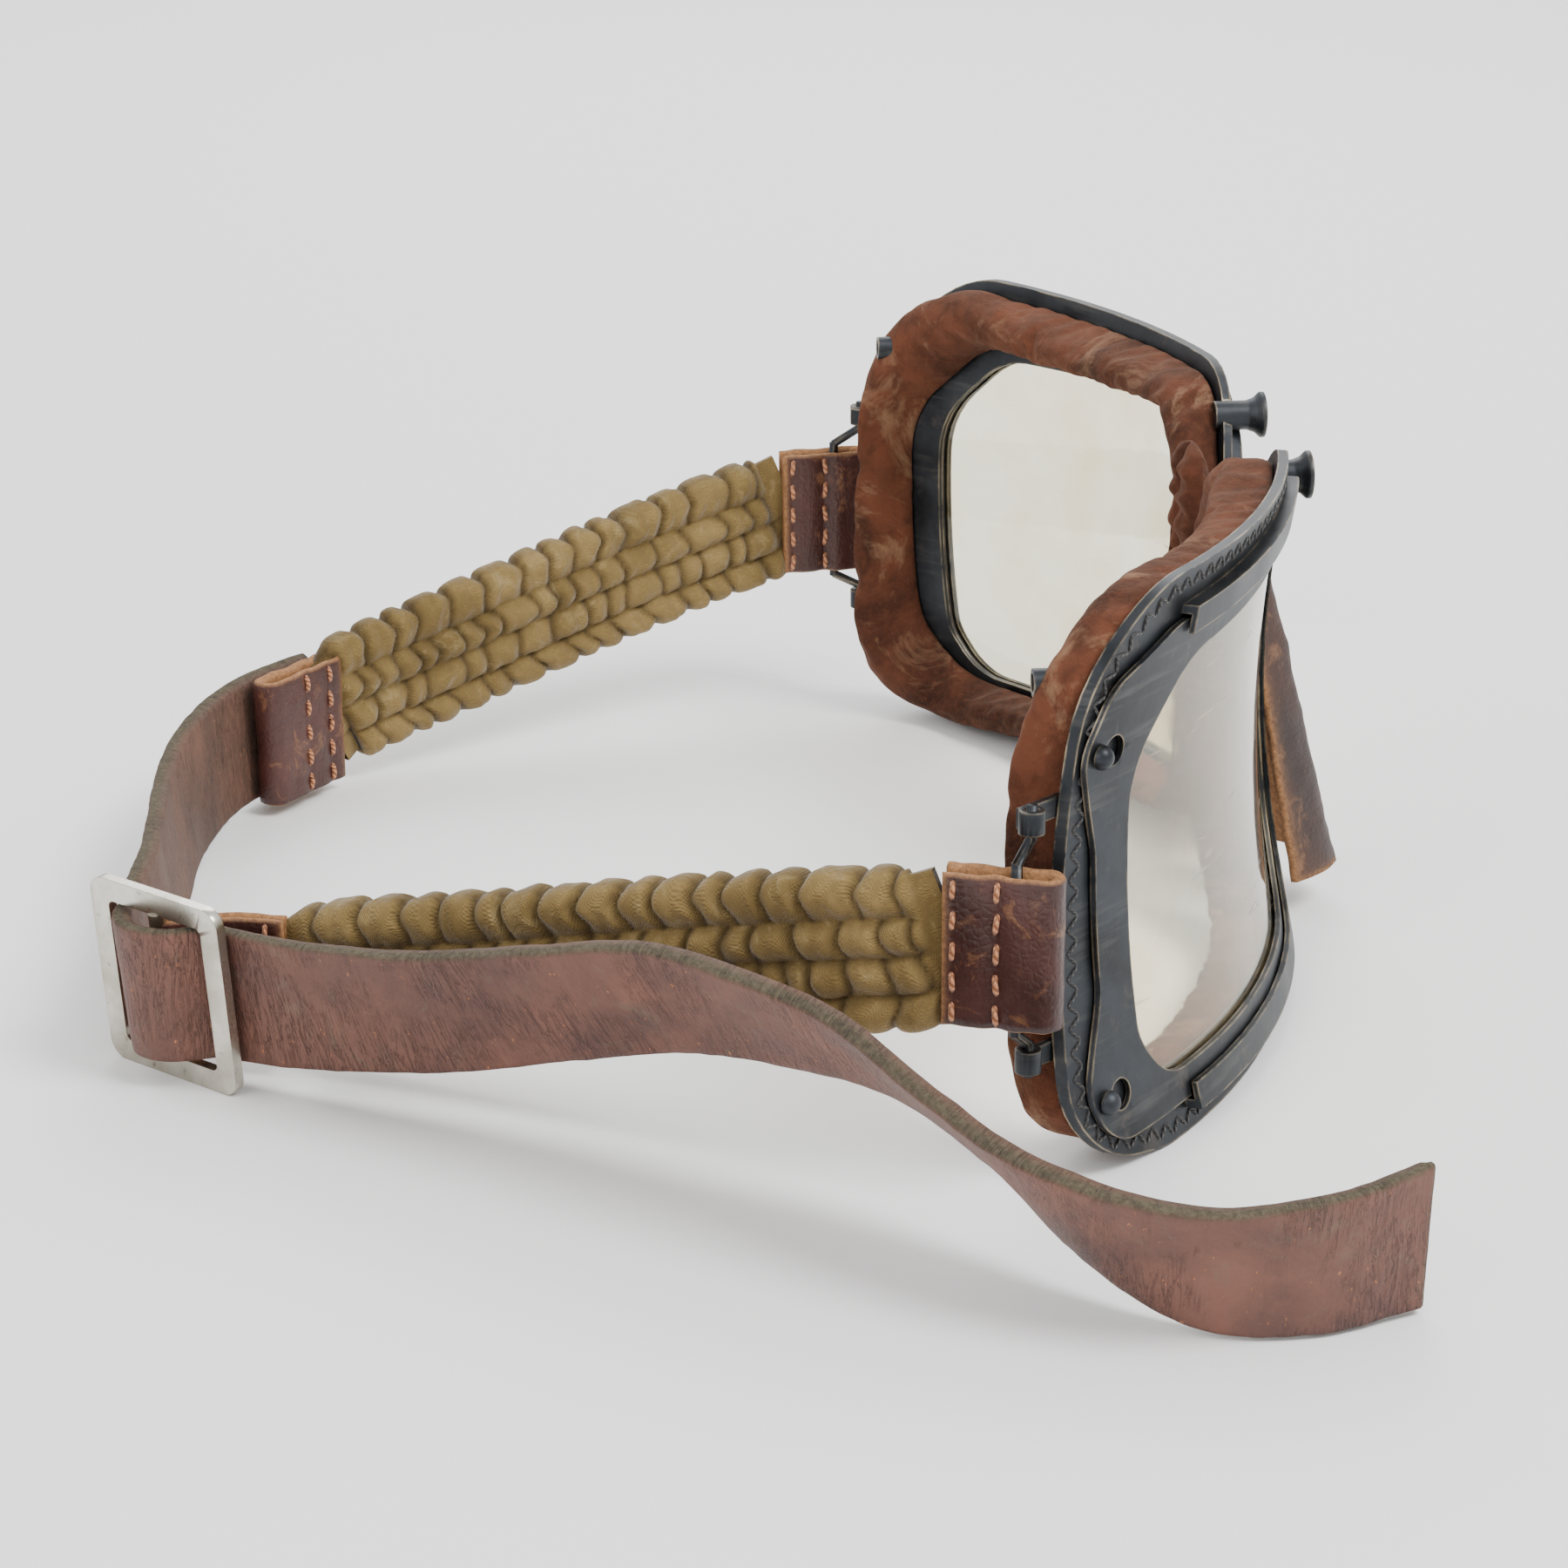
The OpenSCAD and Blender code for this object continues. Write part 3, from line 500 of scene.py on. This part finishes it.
def rounded(corners):
    """A closed outline with arcs at its corners, each [across, up, radius]."""
    out = []
    n = len(corners)
    for i in range(n):
        a, p, b = (np.array(corners[(i + k) % n][:2], float) for k in (-1, 0, 1))
        r = corners[i][2]
        va, vb = (a - p) / np.linalg.norm(a - p), (b - p) / np.linalg.norm(b - p)
        half = math.acos(max(-1, min(1, float(np.dot(va, vb))))) / 2
        t = min(r / math.tan(half), 0.48 * np.linalg.norm(a - p), 0.48 * np.linalg.norm(b - p))
        r = t * math.tan(half)
        mid = p + (va + vb) / np.linalg.norm(va + vb) * (r / math.sin(half))
        s, e = p + va * t - mid, p + vb * t - mid
        for k in range(9):
            v = s * (1 - k / 8) + e * (k / 8)
            out.append(mid + v / np.linalg.norm(v) * r)
    return np.array(out)


def by_angle(outline, count, mid=(0, 31), inset=0.0):
    """The outline's points at even angles round `mid`, drawn in by `inset`."""
    closed = np.vstack([outline, outline[:1]])
    fine = np.vstack([np.linspace(closed[i], closed[i + 1], 12, endpoint=False) for i in range(len(closed) - 1)])
    v = fine - np.array(mid)
    angle = np.unwrap(np.arctan2(v[:, 1], v[:, 0]))
    if angle[-1] < angle[0]:
        fine, v, angle = fine[::-1], v[::-1], angle[::-1]
    reach = np.linalg.norm(v, axis=1)
    base = math.atan2(v[0][1], v[0][0])
    round_it = np.linspace(0, 2 * math.pi, count, endpoint=False)
    turn = (round_it - base) % (2 * math.pi) + angle[0]
    r = np.interp(turn, np.append(angle, angle[0] + 2 * math.pi), np.append(reach, reach[0]))
    pts = np.array(mid) + np.column_stack([np.cos(round_it), np.sin(round_it)]) * r[:, None]
    if inset:
        way = np.roll(pts, -1, 0) - np.roll(pts, 1, 0)
        way /= np.linalg.norm(way, axis=1)[:, None]
        pts = pts + np.column_stack([-way[:, 1], way[:, 0]]) * inset
    return pts


# ---------------------------------------------------------------- suede pads, sewn round the plate and stuffed
def face_pad(side, name, node, body, paint):
    """A ring of suede, pinned where it meets the plate and blown up a little by its stuffing."""
    count = 230
    outer = by_angle(rounded(PLATE), count, inset=1.9)
    inner = by_angle(rounded(PAD_HOLE), count)
    # the section: share of the way from the outer edge to the inner one, and depth behind the plate
    section = [(0.0, 1.25), (-0.02, 2.4), (-0.03, 3.8), (-0.02, 5.2), (0.03, 6.4), (0.12, 7.2), (0.24, 7.7),
               (0.37, 7.9), (0.5, 7.9), (0.63, 7.6), (0.75, 7.1), (0.86, 6.3), (0.93, 5.3), (0.98, 4.1), (1.0, 2.8),
               (1.0, 1.25), (0.8, 1.22), (0.6, 1.22), (0.4, 1.22), (0.2, 1.22)]
    verts, deep = [], []
    for i in range(count):
        gather = 0.28 * math.sin(i * 1.9 + 2.2 * rough(i, 0, 0, 14, side * 3)) + 0.5 * rough(i, 5, 0, 6, side * 5)
        for share, n in section:
            lift = max(0.0, (n - 1.25) / 6.65)
            p = outer[i] * (1 - share) + inner[i] * share
            verts.append(eye_point(side, p[0], p[1], n - 0.25 * lift + 0.45 * gather * lift * (0.3 + 0.7 * share)))
            deep.append(lift)
    faces = tube_faces(count, len(section), True)
    piece = mesh_piece(name, verts, faces, paint)
    simulate(piece, [v for v in range(len(verts)) if deep[v] < 0.12], 3.2)
    displace(piece, 0.16, 5.5, side)
    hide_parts(node)
    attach(piece, body)


MOST_MOVE = 0.0011  # metres


def simulate(piece, pinned, pressure):
    """Twenty frames of cloth under pressure, then one subdivision; no vertex moves more than MOST_MOVE."""
    before = np.array([v.co for v in piece.data.vertices])
    group = piece.vertex_groups.new(name="sewn")
    group.add(pinned, 1.0, "REPLACE")
    cloth = piece.modifiers.new("cloth", "CLOTH")
    s = cloth.settings
    s.quality, s.mass, s.tension_stiffness, s.compression_stiffness = 6, 0.15, 12, 12
    s.shear_stiffness, s.bending_stiffness, s.shrink_min = 6, 0.25, -0.05
    s.use_pressure, s.uniform_pressure_force = True, pressure
    s.effector_weights.gravity = 0.0
    s.vertex_group_mass = "sewn"
    cloth.collision_settings.use_collision = False
    cloth.point_cache.frame_start, cloth.point_cache.frame_end = 1, 20
    scene = bpy.context.scene
    for f in range(1, 21):
        scene.frame_set(f)
    shape = piece.evaluated_get(bpy.context.evaluated_depsgraph_get())
    after = np.array([v.co for v in shape.data.vertices])
    piece.modifiers.remove(cloth)
    piece.vertex_groups.clear()
    scene.frame_set(1)
    move = after - before
    reach = np.linalg.norm(move, axis=1)[:, None]
    move *= np.minimum(1.0, MOST_MOVE / np.maximum(reach, 1e-9))
    piece.data.vertices.foreach_set("co", (before + move).ravel())
    fine = piece.modifiers.new("fine", "SUBSURF")
    fine.levels = fine.render_levels = 1
    apply_modifiers(piece)


def apply_modifiers(piece):
    done = bpy.data.meshes.new_from_object(piece.evaluated_get(bpy.context.evaluated_depsgraph_get()))
    piece.modifiers.clear()
    piece.data = done


def displace(piece, amount, scale, seed):
    """Small soft dents along the normals."""
    mesh = piece.data
    co = np.array([v.co for v in mesh.vertices]) / MM
    nm = np.array([v.normal for v in mesh.vertices])
    d = np.array([rough(*p, scale, seed) + 0.5 * rough(*p, scale / 2.7, seed + 4) for p in co])
    mesh.vertices.foreach_set("co", ((co + nm * (amount * d)[:, None]) * MM).ravel())
    mesh.update()


HORN_AT, HORN_CLEAR = (-33.6, 58.3), 4.0


def pad_stitches(side, name, node, body, paint):
    """The zig-zag thread through the plate's edge: one bit per stitch."""
    outer = by_angle(rounded(PLATE), 1440, inset=0.8)
    inner = by_angle(rounded(PLATE), 1440, inset=2.4)
    run = np.concatenate([[0], np.cumsum(np.linalg.norm(np.diff(np.vstack([outer, outer[:1]]), axis=0), axis=1))])
    count = int(round(run[-1] / 2.7)) * 2
    at = [int(np.searchsorted(run, run[-1] * k / count)) % 1440 for k in range(count + 1)]
    bits = []
    for k in range(count):
        a = (outer if k % 2 == 0 else inner)[at[k]]
        b = (inner if k % 2 == 0 else outer)[at[k + 1]]
        mid = (a + b) / 2
        if abs(mid[0] - HORN_AT[0]) < HORN_CLEAR and abs(mid[1] - HORN_AT[1]) < HORN_CLEAR:
            continue
        path = []
        for f in np.linspace(0, 1, 6):
            p = a * (1 - f) + b * f
            path.append(eye_point(side, p[0] + 0.05 * RNG.uniform(-1, 1), p[1], 0.05 - 0.12 * math.sin(math.pi * f)))
        bits.append(path)
    piece = thread_bits(name, bits, 0.17, paint, 8)
    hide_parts(node)
    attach(piece, body)


# ---------------------------------------------------------------- folded leather tabs and their stitches
def tab_frame(place, side):
    """Plan point `back` behind a front tab's bend and `out` from its middle line, outwards from the head."""
    x, y, turn = place
    a = math.radians(turn)

    def at(back, out=0.0):
        return np.array([side * (x - back * math.sin(a) + out * math.cos(a)),
                         y + back * math.cos(a) + out * math.sin(a)])
    return at


def stitch_bits(at, rows, low, height, gap, both=True):
    bits = []
    for back in rows:
        for k in range(5):
            z = low + height * (k + 0.5) / 5
            for face in ((1, -1) if both else (-1,)):
                path = []
                lean = 0.16 * RNG.uniform(-1, 1)
                for f in np.linspace(-1, 1, 7):
                    out = face * (gap + 0.16 - 0.34 * f * f)
                    p = at(back + lean * f, out)
                    path.append((p[0], p[1], z + 1.12 * f))
                bits.append(path)
    return bits


def front_tab(side, place, name, node, thread_node, body, paint, thread):
    at = tab_frame(place, side)
    backs = np.linspace(10.4, 0.0, 24)
    line = [at(b) for b in backs]
    gaps = [1.42 - 0.42 * math.exp(-((b - 4.6) / 1.0) ** 2) - 0.3 * math.exp(-((b - 9.2) / 0.9) ** 2)
            + 0.12 * math.exp(-((b - 2.4) / 1.2) ** 2) for b in backs]
    plan = fold(line, gaps)[::-1]
    centre, up = upright(plan, 19.4, 36.4)
    piece = strip(name, centre, up, 8.5, 1.5, paint, seed=2.0 + side, wave=0.16, back_cut=0.9)
    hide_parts(node)
    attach(piece, body)
    sewn = thread_bits(name + "_stitches", stitch_bits(at, (4.6, 9.2), 19.4, 17, 1.85), 0.33, thread)
    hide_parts(thread_node)
    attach(sewn, body)


def run_frame(run):
    a, b = np.array(run[0]), np.array(run[1])
    way = (b - a) / np.linalg.norm(b - a)
    side = np.array([-way[1], way[0]])
    return lambda back, out=0.0: a + way * back + side * out


def left_rear_tab(paint, thread):
    run = [[43.6, 117.4], [53.3, 109.9]]
    at = run_frame(run)
    backs = np.linspace(12.26, 0.0, 26)
    gaps = [1.4 - 0.34 * math.exp(-((b - 5.2) / 1.0) ** 2) - 0.34 * math.exp(-((b - 9.8) / 1.0) ** 2) for b in backs]
    plan = fold([at(b) for b in backs], gaps)[::-1]
    centre, up = upright(plan, 1.4, 18.4)
    piece = strip("left_rear_keeper", centre, up, 8.5, 1.5, paint, seed=5.0, wave=0.18, back_cut=0.9)
    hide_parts("left_rear_tab")
    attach(piece, "right_eye")
    bits = stitch_bits(at, (5.2, 9.8), 1.4, 17, 1.9, both=False)
    sewn = thread_bits("left_rear_keeper_stitches", bits, 0.33, thread)
    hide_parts("left_rear_tab_thread")
    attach(sewn, "right_eye")


def right_rear_tab(paint, thread):
    run = [[-42.35, 113.6], [-40.9, 118.6], [-40.55, 126.4]]
    line, marks = resample(run, 0.5)
    gaps = [0.66 + 0.92 * max(0.0, (m - marks[-1] + 3.2) / 3.2) ** 1.4 - 0.12 * math.exp(-((m - 2) / 0.9) ** 2)
            for m in marks]
    plan = fold(line, gaps)[::-1]
    centre, up = upright(plan, 3.35, 19.15, 0.35)
    piece = strip("right_rear_keeper", centre, up, 7.9, 1.1, paint, seed=8.0, wave=0.1, back_cut=0.9)
    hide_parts("right_rear_tab")
    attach(piece, "buckle")
    at = run_frame(run)
    bits = stitch_bits(at, (2.0,), 3.3, 15.9, 1.1)
    sewn = thread_bits("right_rear_keeper_stitches", bits, 0.3, thread)
    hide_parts("right_rear_tab_thread")
    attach(sewn, "buckle")


# ---------------------------------------------------------------- elastics
def hermite(p, u, q, v, f):
    return ((1 + 2 * f) * (1 - f) ** 2 * p + f * (1 - f) ** 2 * u + f * f * (3 - 2 * f) * q
            + f * f * (f - 1) * v)


def elastic_line(front, front_way, rear, rear_way, count):
    front, rear = np.array(front), np.array(rear)
    u, v = 20 * np.array(front_way), 14 * np.array(rear_way)
    out = []
    for i in range(count + 1):
        f = i / count
        p = hermite(front, u, rear, v, f)
        z = 27.9 + (11 - 27.9) * (f - math.sin(2 * math.pi * f) / 14)
        out.append([p[0], p[1], z])
    return np.array(out)


ROWS = [-9.1, -4.9, -0.7, 3.5, 9.1]


def elastic(name, line, paint, core_paint, cover_node, core_node, seed):
    """A ruched cover in four puffed rows between shirring lines, over a flat ribbed core."""
    first, last = line[0] - line[1], line[-1] - line[-2]
    line = np.vstack([line[0] + first / np.linalg.norm(first) * 2.6, line,
                      line[-1] + last / np.linalg.norm(last) * 2.6])
    line, run = resample(line, 0.34)
    n = len(line)
    total = run[-1]
    folds = []
    for row in range(4):
        marks, s = [], 3.0 + 0.8 * row
        while s < total:
            marks.append(s)
            s += RNG.uniform(2.6, 5.6) if row < 3 else RNG.uniform(3.4, 6.2)
        folds.append(np.array(marks))
    across = np.linspace(-9.1, 9.1, 45)
    verts, along, wide, crease = [], [], [], []
    for i in range(n):
        way = line[min(n - 1, i + 1)] - line[max(0, i - 1)]
        way = way / np.linalg.norm(way)
        up = np.array([0, 0, 1.0]) - way * way[2]
        up /= np.linalg.norm(up)
        out = np.cross(way, up)
        near_end = min(run[i], total - run[i])
        calm = 1 - math.exp(-(max(0.0, near_end - 2.4) / 1.5) ** 2)
        for face in (1, -1):
            for w in (across if face == 1 else across[::-1]):
                row = max(r for r in range(4) if w >= ROWS[r] - 1e-6)
                mid = (w - ROWS[row]) / (ROWS[row + 1] - ROWS[row])
                puff = math.sin(math.pi * min(1, max(0, mid))) ** 0.55 if 0 < mid < 1 else 0.0
                shift = (1.3 * rough(w, row * 3.1 + 9 * face, 0, 3.4, seed)
                         + 1.4 * rough(row * 5.7, face * 2.0, 0, 1.1, seed) * (row + 1) * 0.4)
                pos = run[i] + shift + 0.9 * rough(run[i], w, face, 5, seed)
                near = float(np.min(np.abs(folds[row] - pos)))
                ridge = 1 - math.exp(-(near / 0.62) ** 1.2)
                small = 0.5 + 0.5 * math.sin(pos * 2.6 + 2.5 * rough(pos, w, face, 2.6, seed))
                high = puff * (0.72 + 1.1 * ridge + 0.2 * small + 0.25 * rough(run[i], w, face * 3, 4, seed + 2))
                flat = 0.72 + 0.1 * small
                d = 0.52 + (flat + high - 0.52) * calm
                edge_in = 1.1 * (1 - ridge) * (abs(w) / 9.1) ** 3 * calm
                v = w * (1 - edge_in / 9.1) * (0.86 + 0.14 * calm) + 0.22 * rough(run[i], face, w, 2.4, seed) * calm
                lean = 0.45 * rough(run[i], w, 7 * face, 3.0, seed) * puff * calm
                verts.append(line[i] + up * v + out * face * min(2.72, d) + way * lean)
                along.append((run[i] + 1.3 * small) * MM)
                wide.append(w * MM)
                # crease sets the painted shade of the ruching: high at each fold and between the puffed rows, low on
                # the puffs
                crease.append(min(1.0, max(0.0, 1.15 - ridge * 1.1 - 0.35 * puff + (0.25 if puff < 0.3 else 0))))
    faces = tube_faces(n, 2 * len(across), False, caps=False)
    cover = mesh_piece(name + "_ruching", verts, faces, paint,
                       {"along": along, "across": wide, "crease": crease})
    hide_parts(cover_node)
    core_verts = []
    for i in range(0, n, 3):
        way = line[min(n - 1, i + 1)] - line[max(0, i - 1)]
        way = way / np.linalg.norm(way)
        up = np.array([0, 0, 1.0]) - way * way[2]
        up /= np.linalg.norm(up)
        out = np.cross(way, up)
        for face in (1, -1):
            for w in (np.linspace(-7.6, 7.6, 39) if face == 1 else np.linspace(7.6, -7.6, 39)):
                core_verts.append(line[i] + up * w + out * face * (0.34 + 0.12 * abs(math.sin(w * 2.4))))
    core = mesh_piece(name + "_ribbed_band", core_verts, tube_faces(len(range(0, n, 3)), 78, False), core_paint)
    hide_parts(core_node)
    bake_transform(cover)
    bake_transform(core)


# ---------------------------------------------------------------- strap
ROUTE = [[55, 112.8, 1.5, 2], [46, 120, 1.5, 3], [37, 124.3, 1.2, 4], [25, 127, 1, 5], [12, 128, 1, 6],
         [-2, 128.2, 1.2, 6], [-15, 128.3, 1.8, 6], [-25, 128.9, 2.6, 6], [-31.8, 129.6, 3.0, 5],
         [-35.9, 129.7, 3.1, 5], [-39.1, 130.2, 3.2, 5], [-41.8, 130, 3.2, 5], [-43.5, 128.7, 3.2, 5],
         [-44.4, 126.4, 3.2, 5], [-44.1, 123.7, 3.2, 5], [-43.8, 120.8, 3.2, 5], [-45.2, 118.2, 3.2, 6],
         [-50, 110, 4, 12], [-57.5, 96.5, 6.5, 20], [-65, 83.5, 10.5, 25], [-72, 71.5, 14, 29],
         [-79.5, 60.5, 15, 37], [-87, 50, 14.2, 44], [-96.5, 40.5, 9.8, 45], [-106.5, 32, 4, 35],
         [-113.5, 23, 0.4, 22], [-115, 13, 0, 12], [-111, 1.5, 0.3, 5]]


def strap(paint):
    path = catmull(ROUTE, 24)
    line, _ = resample(path, 0.6)
    line[:, 2] = np.maximum(line[:, 2], 0.0) + 0.03
    n = len(line)
    centre, up = [], []
    for i in range(n):
        t = line[min(n - 1, i + 1)][:2] - line[max(0, i - 1)][:2]
        t = t / np.linalg.norm(t)
        lean = math.radians(line[i][3])
        raw = np.array([t[1] * math.sin(lean), -t[0] * math.sin(lean), math.cos(lean)])
        u = raw / np.linalg.norm(raw)
        centre.append(np.array([line[i][0], line[i][1], line[i][2]]) + u * 8.25
                      + np.array([0, 0, 1.1 * math.sin(abs(lean))]))
        up.append(u)
    centre, up = np.array(centre), np.array(up)
    piece = strip("strap_band", centre, up, 8.2, 2.1, paint, seed=3.0, wave=0.13, back_cut=0.3)
    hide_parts("strap")
    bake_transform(piece)


# ---------------------------------------------------------------- nose leather
def nose_flap(paint):
    """A small hood over the hinge, wider at its lower end, with a raw lower edge."""
    rows, cols, thick = 60, 40, 1.15
    verts, along, across, cut = [], [], [], []
    for skin in (0, 1):
        for i in range(rows):
            f = i / (rows - 1)
            z = 44 - 39 * f
            half = 2.7 + 5.2 * f - 0.25 * skin
            ridge = -4.5 - 9.9 * f
            back = -1.2 - 6.7 * f
            for j in range(cols):
                g = -1 + 2 * j / (cols - 1)
                x = half * g
                y = back + (ridge - back) * (1 - abs(g) ** 1.8) + thick * skin * (0.6 + 0.4 * (1 - abs(g)))
                dent = 0.22 * rough(x, y, z, 5, 2.5) + 0.12 * rough(x, y, z, 1.8, 6)
                verts.append((x, y + dent, z + (0.25 * rough(x, 0, 4, 3, 1) if i in (0, rows - 1) else 0)))
                along.append(z * MM)
                across.append(x * MM)
                edge = min(f * 39, (1 - f) * 39, (1 - abs(g)) * 6)
                cut.append(min(1.0, math.exp(-edge / 0.35) + 0.8 * skin))
    faces = []
    size = rows * cols
    for skin in (0, 1):
        for i in range(rows - 1):
            for j in range(cols - 1):
                a = skin * size + i * cols + j
                faces.append((a, a + 1, a + cols + 1, a + cols))
    rim = ([(0, j) for j in range(cols)] + [(i, cols - 1) for i in range(1, rows)]
           + [(rows - 1, j) for j in range(cols - 2, -1, -1)] + [(i, 0) for i in range(rows - 2, 0, -1)])
    for k in range(len(rim)):
        a = rim[k][0] * cols + rim[k][1]
        b = rim[(k + 1) % len(rim)][0] * cols + rim[(k + 1) % len(rim)][1]
        faces.append((a, b, b + size, a + size))
    piece = mesh_piece("nose_hood", verts, faces, paint,
                       {"along": along, "across": across, "cut": cut})
    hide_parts("nose_flap")
    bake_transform(piece)


def nose_gusset(paint):
    """Two crumpled suede lobes between the pads, with a deep crease down the middle."""
    rows, around = 60, 84
    verts = []
    for i in range(rows):
        f = i / (rows - 1)
        cap = max(0.05, 1 - abs(2 * f - 1) ** 5) ** 0.5
        for k in range(around):
            t = 2 * math.pi * k / around
            c, s = math.cos(t), math.sin(t)
            x = 4.5 * math.copysign(abs(c) ** 0.7, c) * cap
            y = 5.3 + 1.8 * math.copysign(abs(s) ** 0.7, s) * cap
            z = 44.2 + 14.6 * f
            if s > 0:
                y -= 1.6 * math.exp(-(x / 0.7) ** 2) * cap
                y += 0.35 * math.sin(z * 1.7 + 1.5 * rough(x, 0, z, 2.5, 3)) * cap
            d = 0.28 * rough(x, y, z, 2.6, 9) + 0.14 * rough(x, y, z, 1.1, 4)
            verts.append((x * (1 + 0.03 * d), y + d, z))
    piece = mesh_piece("nose_lobes", verts, tube_faces(rows, around, False), paint)
    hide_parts("nose_gusset")
    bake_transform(piece)


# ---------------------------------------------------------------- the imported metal, glass and rubber
def finish_node(name, paint, bevel=0.0):
    piece = nodes[name]
    piece.data.materials.clear()
    piece.data.materials.append(paint)
    if "custom_normal" in piece.data.attributes:
        piece.data.attributes.remove(piece.data.attributes["custom_normal"])
    piece.data.polygons.foreach_set("use_smooth", [True] * len(piece.data.polygons))
    weld = piece.modifiers.new("weld", "WELD")
    weld.merge_threshold = 1e-6
    if bevel:
        soft = piece.modifiers.new("soft_edges", "BEVEL")
        soft.width, soft.segments, soft.limit_method, soft.angle_limit = bevel * MM, 2, "ANGLE", math.radians(32)
        soft.use_clamp_overlap = True
        even = piece.modifiers.new("even_faces", "WEIGHTED_NORMAL")
        even.keep_sharp = True


make_camera()
make_stage()
steel, nickel, glass, rubber = steel_paint(), nickel_paint(), lens_paint(), rubber_paint()
suede = suede_paint("brown_suede", rgb(98, 56, 38), rgb(48, 25, 16))
flap_leather = leather_paint("flap_leather", rgb(66, 42, 34), rgb(38, 24, 20), rgb(170, 122, 82), shine=0.5)
tab_leather = leather_paint("tab_leather", rgb(76, 42, 36), rgb(48, 26, 23), rgb(184, 130, 82), shine=0.3)
strap_leather = leather_paint("strap_leather", rgb(112, 72, 58), rgb(78, 48, 40), rgb(100, 90, 72), shine=0.5,
                              across_cracks=0.6, specks=0.7)
black_thread = thread_paint("black_thread", rgb(44, 40, 38), rgb(14, 13, 12))
tan_thread = thread_paint("tan_thread", rgb(206, 140, 96), rgb(128, 74, 42))
olive = cloth_paint()

for side, word, eye in ((-1, "right", "right_eye"), (1, "left", "left_eye")):
    for part in ("eye_plate", "bezel", "bezel_studs", "vent_horn", "outlet_tube", "loop_lugs", "wire_loop",
                 "hinge_leaf"):
        finish_node(f"{word}_{part}", steel, 0.0 if part == "wire_loop" else 0.09)
    finish_node(f"{word}_lens", glass)
    nodes[f"{word}_lens"].visible_shadow = False
    finish_node(f"{word}_lens_gasket", rubber, 0.04)
    face_pad(side, f"{word}_suede_pad", f"{word}_face_pad", eye, suede)
    pad_stitches(side, f"{word}_zigzag", f"{word}_pad_stitching", eye, black_thread)
finish_node("hinge_pin", steel, 0.09)
finish_node("buckle_frame", nickel, 0.16)
finish_node("buckle_bar", nickel, 0.08)

front_tab(1, [82.6, 36.8, 8], "left_front_keeper", "left_front_tab", "left_front_tab_thread", "left_loop",
          tab_leather, tan_thread)
front_tab(-1, [82.2, 34.9, 20], "right_front_keeper", "right_front_tab", "right_front_tab_thread", "right_loop",
          tab_leather, tan_thread)
left_rear_tab(tab_leather, tan_thread)
right_rear_tab(tab_leather, tan_thread)
elastic("left_elastic", elastic_line((81.06, 47.79), (-0.139, 0.990), (54.01, 109.35), (-0.791, 0.612), 60),
        olive, rubber,
        "left_elastic_cover", "left_elastic_core", 1.7)
elastic("right_elastic", elastic_line((-78.40, 45.33), (0.342, 0.940), (-41.9, 110.6), (0.1, 0.995), 60),
        olive, rubber,
        "right_elastic_cover", "right_elastic_core", 6.3)
strap(strap_leather)
nose_flap(flap_leather)
nose_gusset(suede)
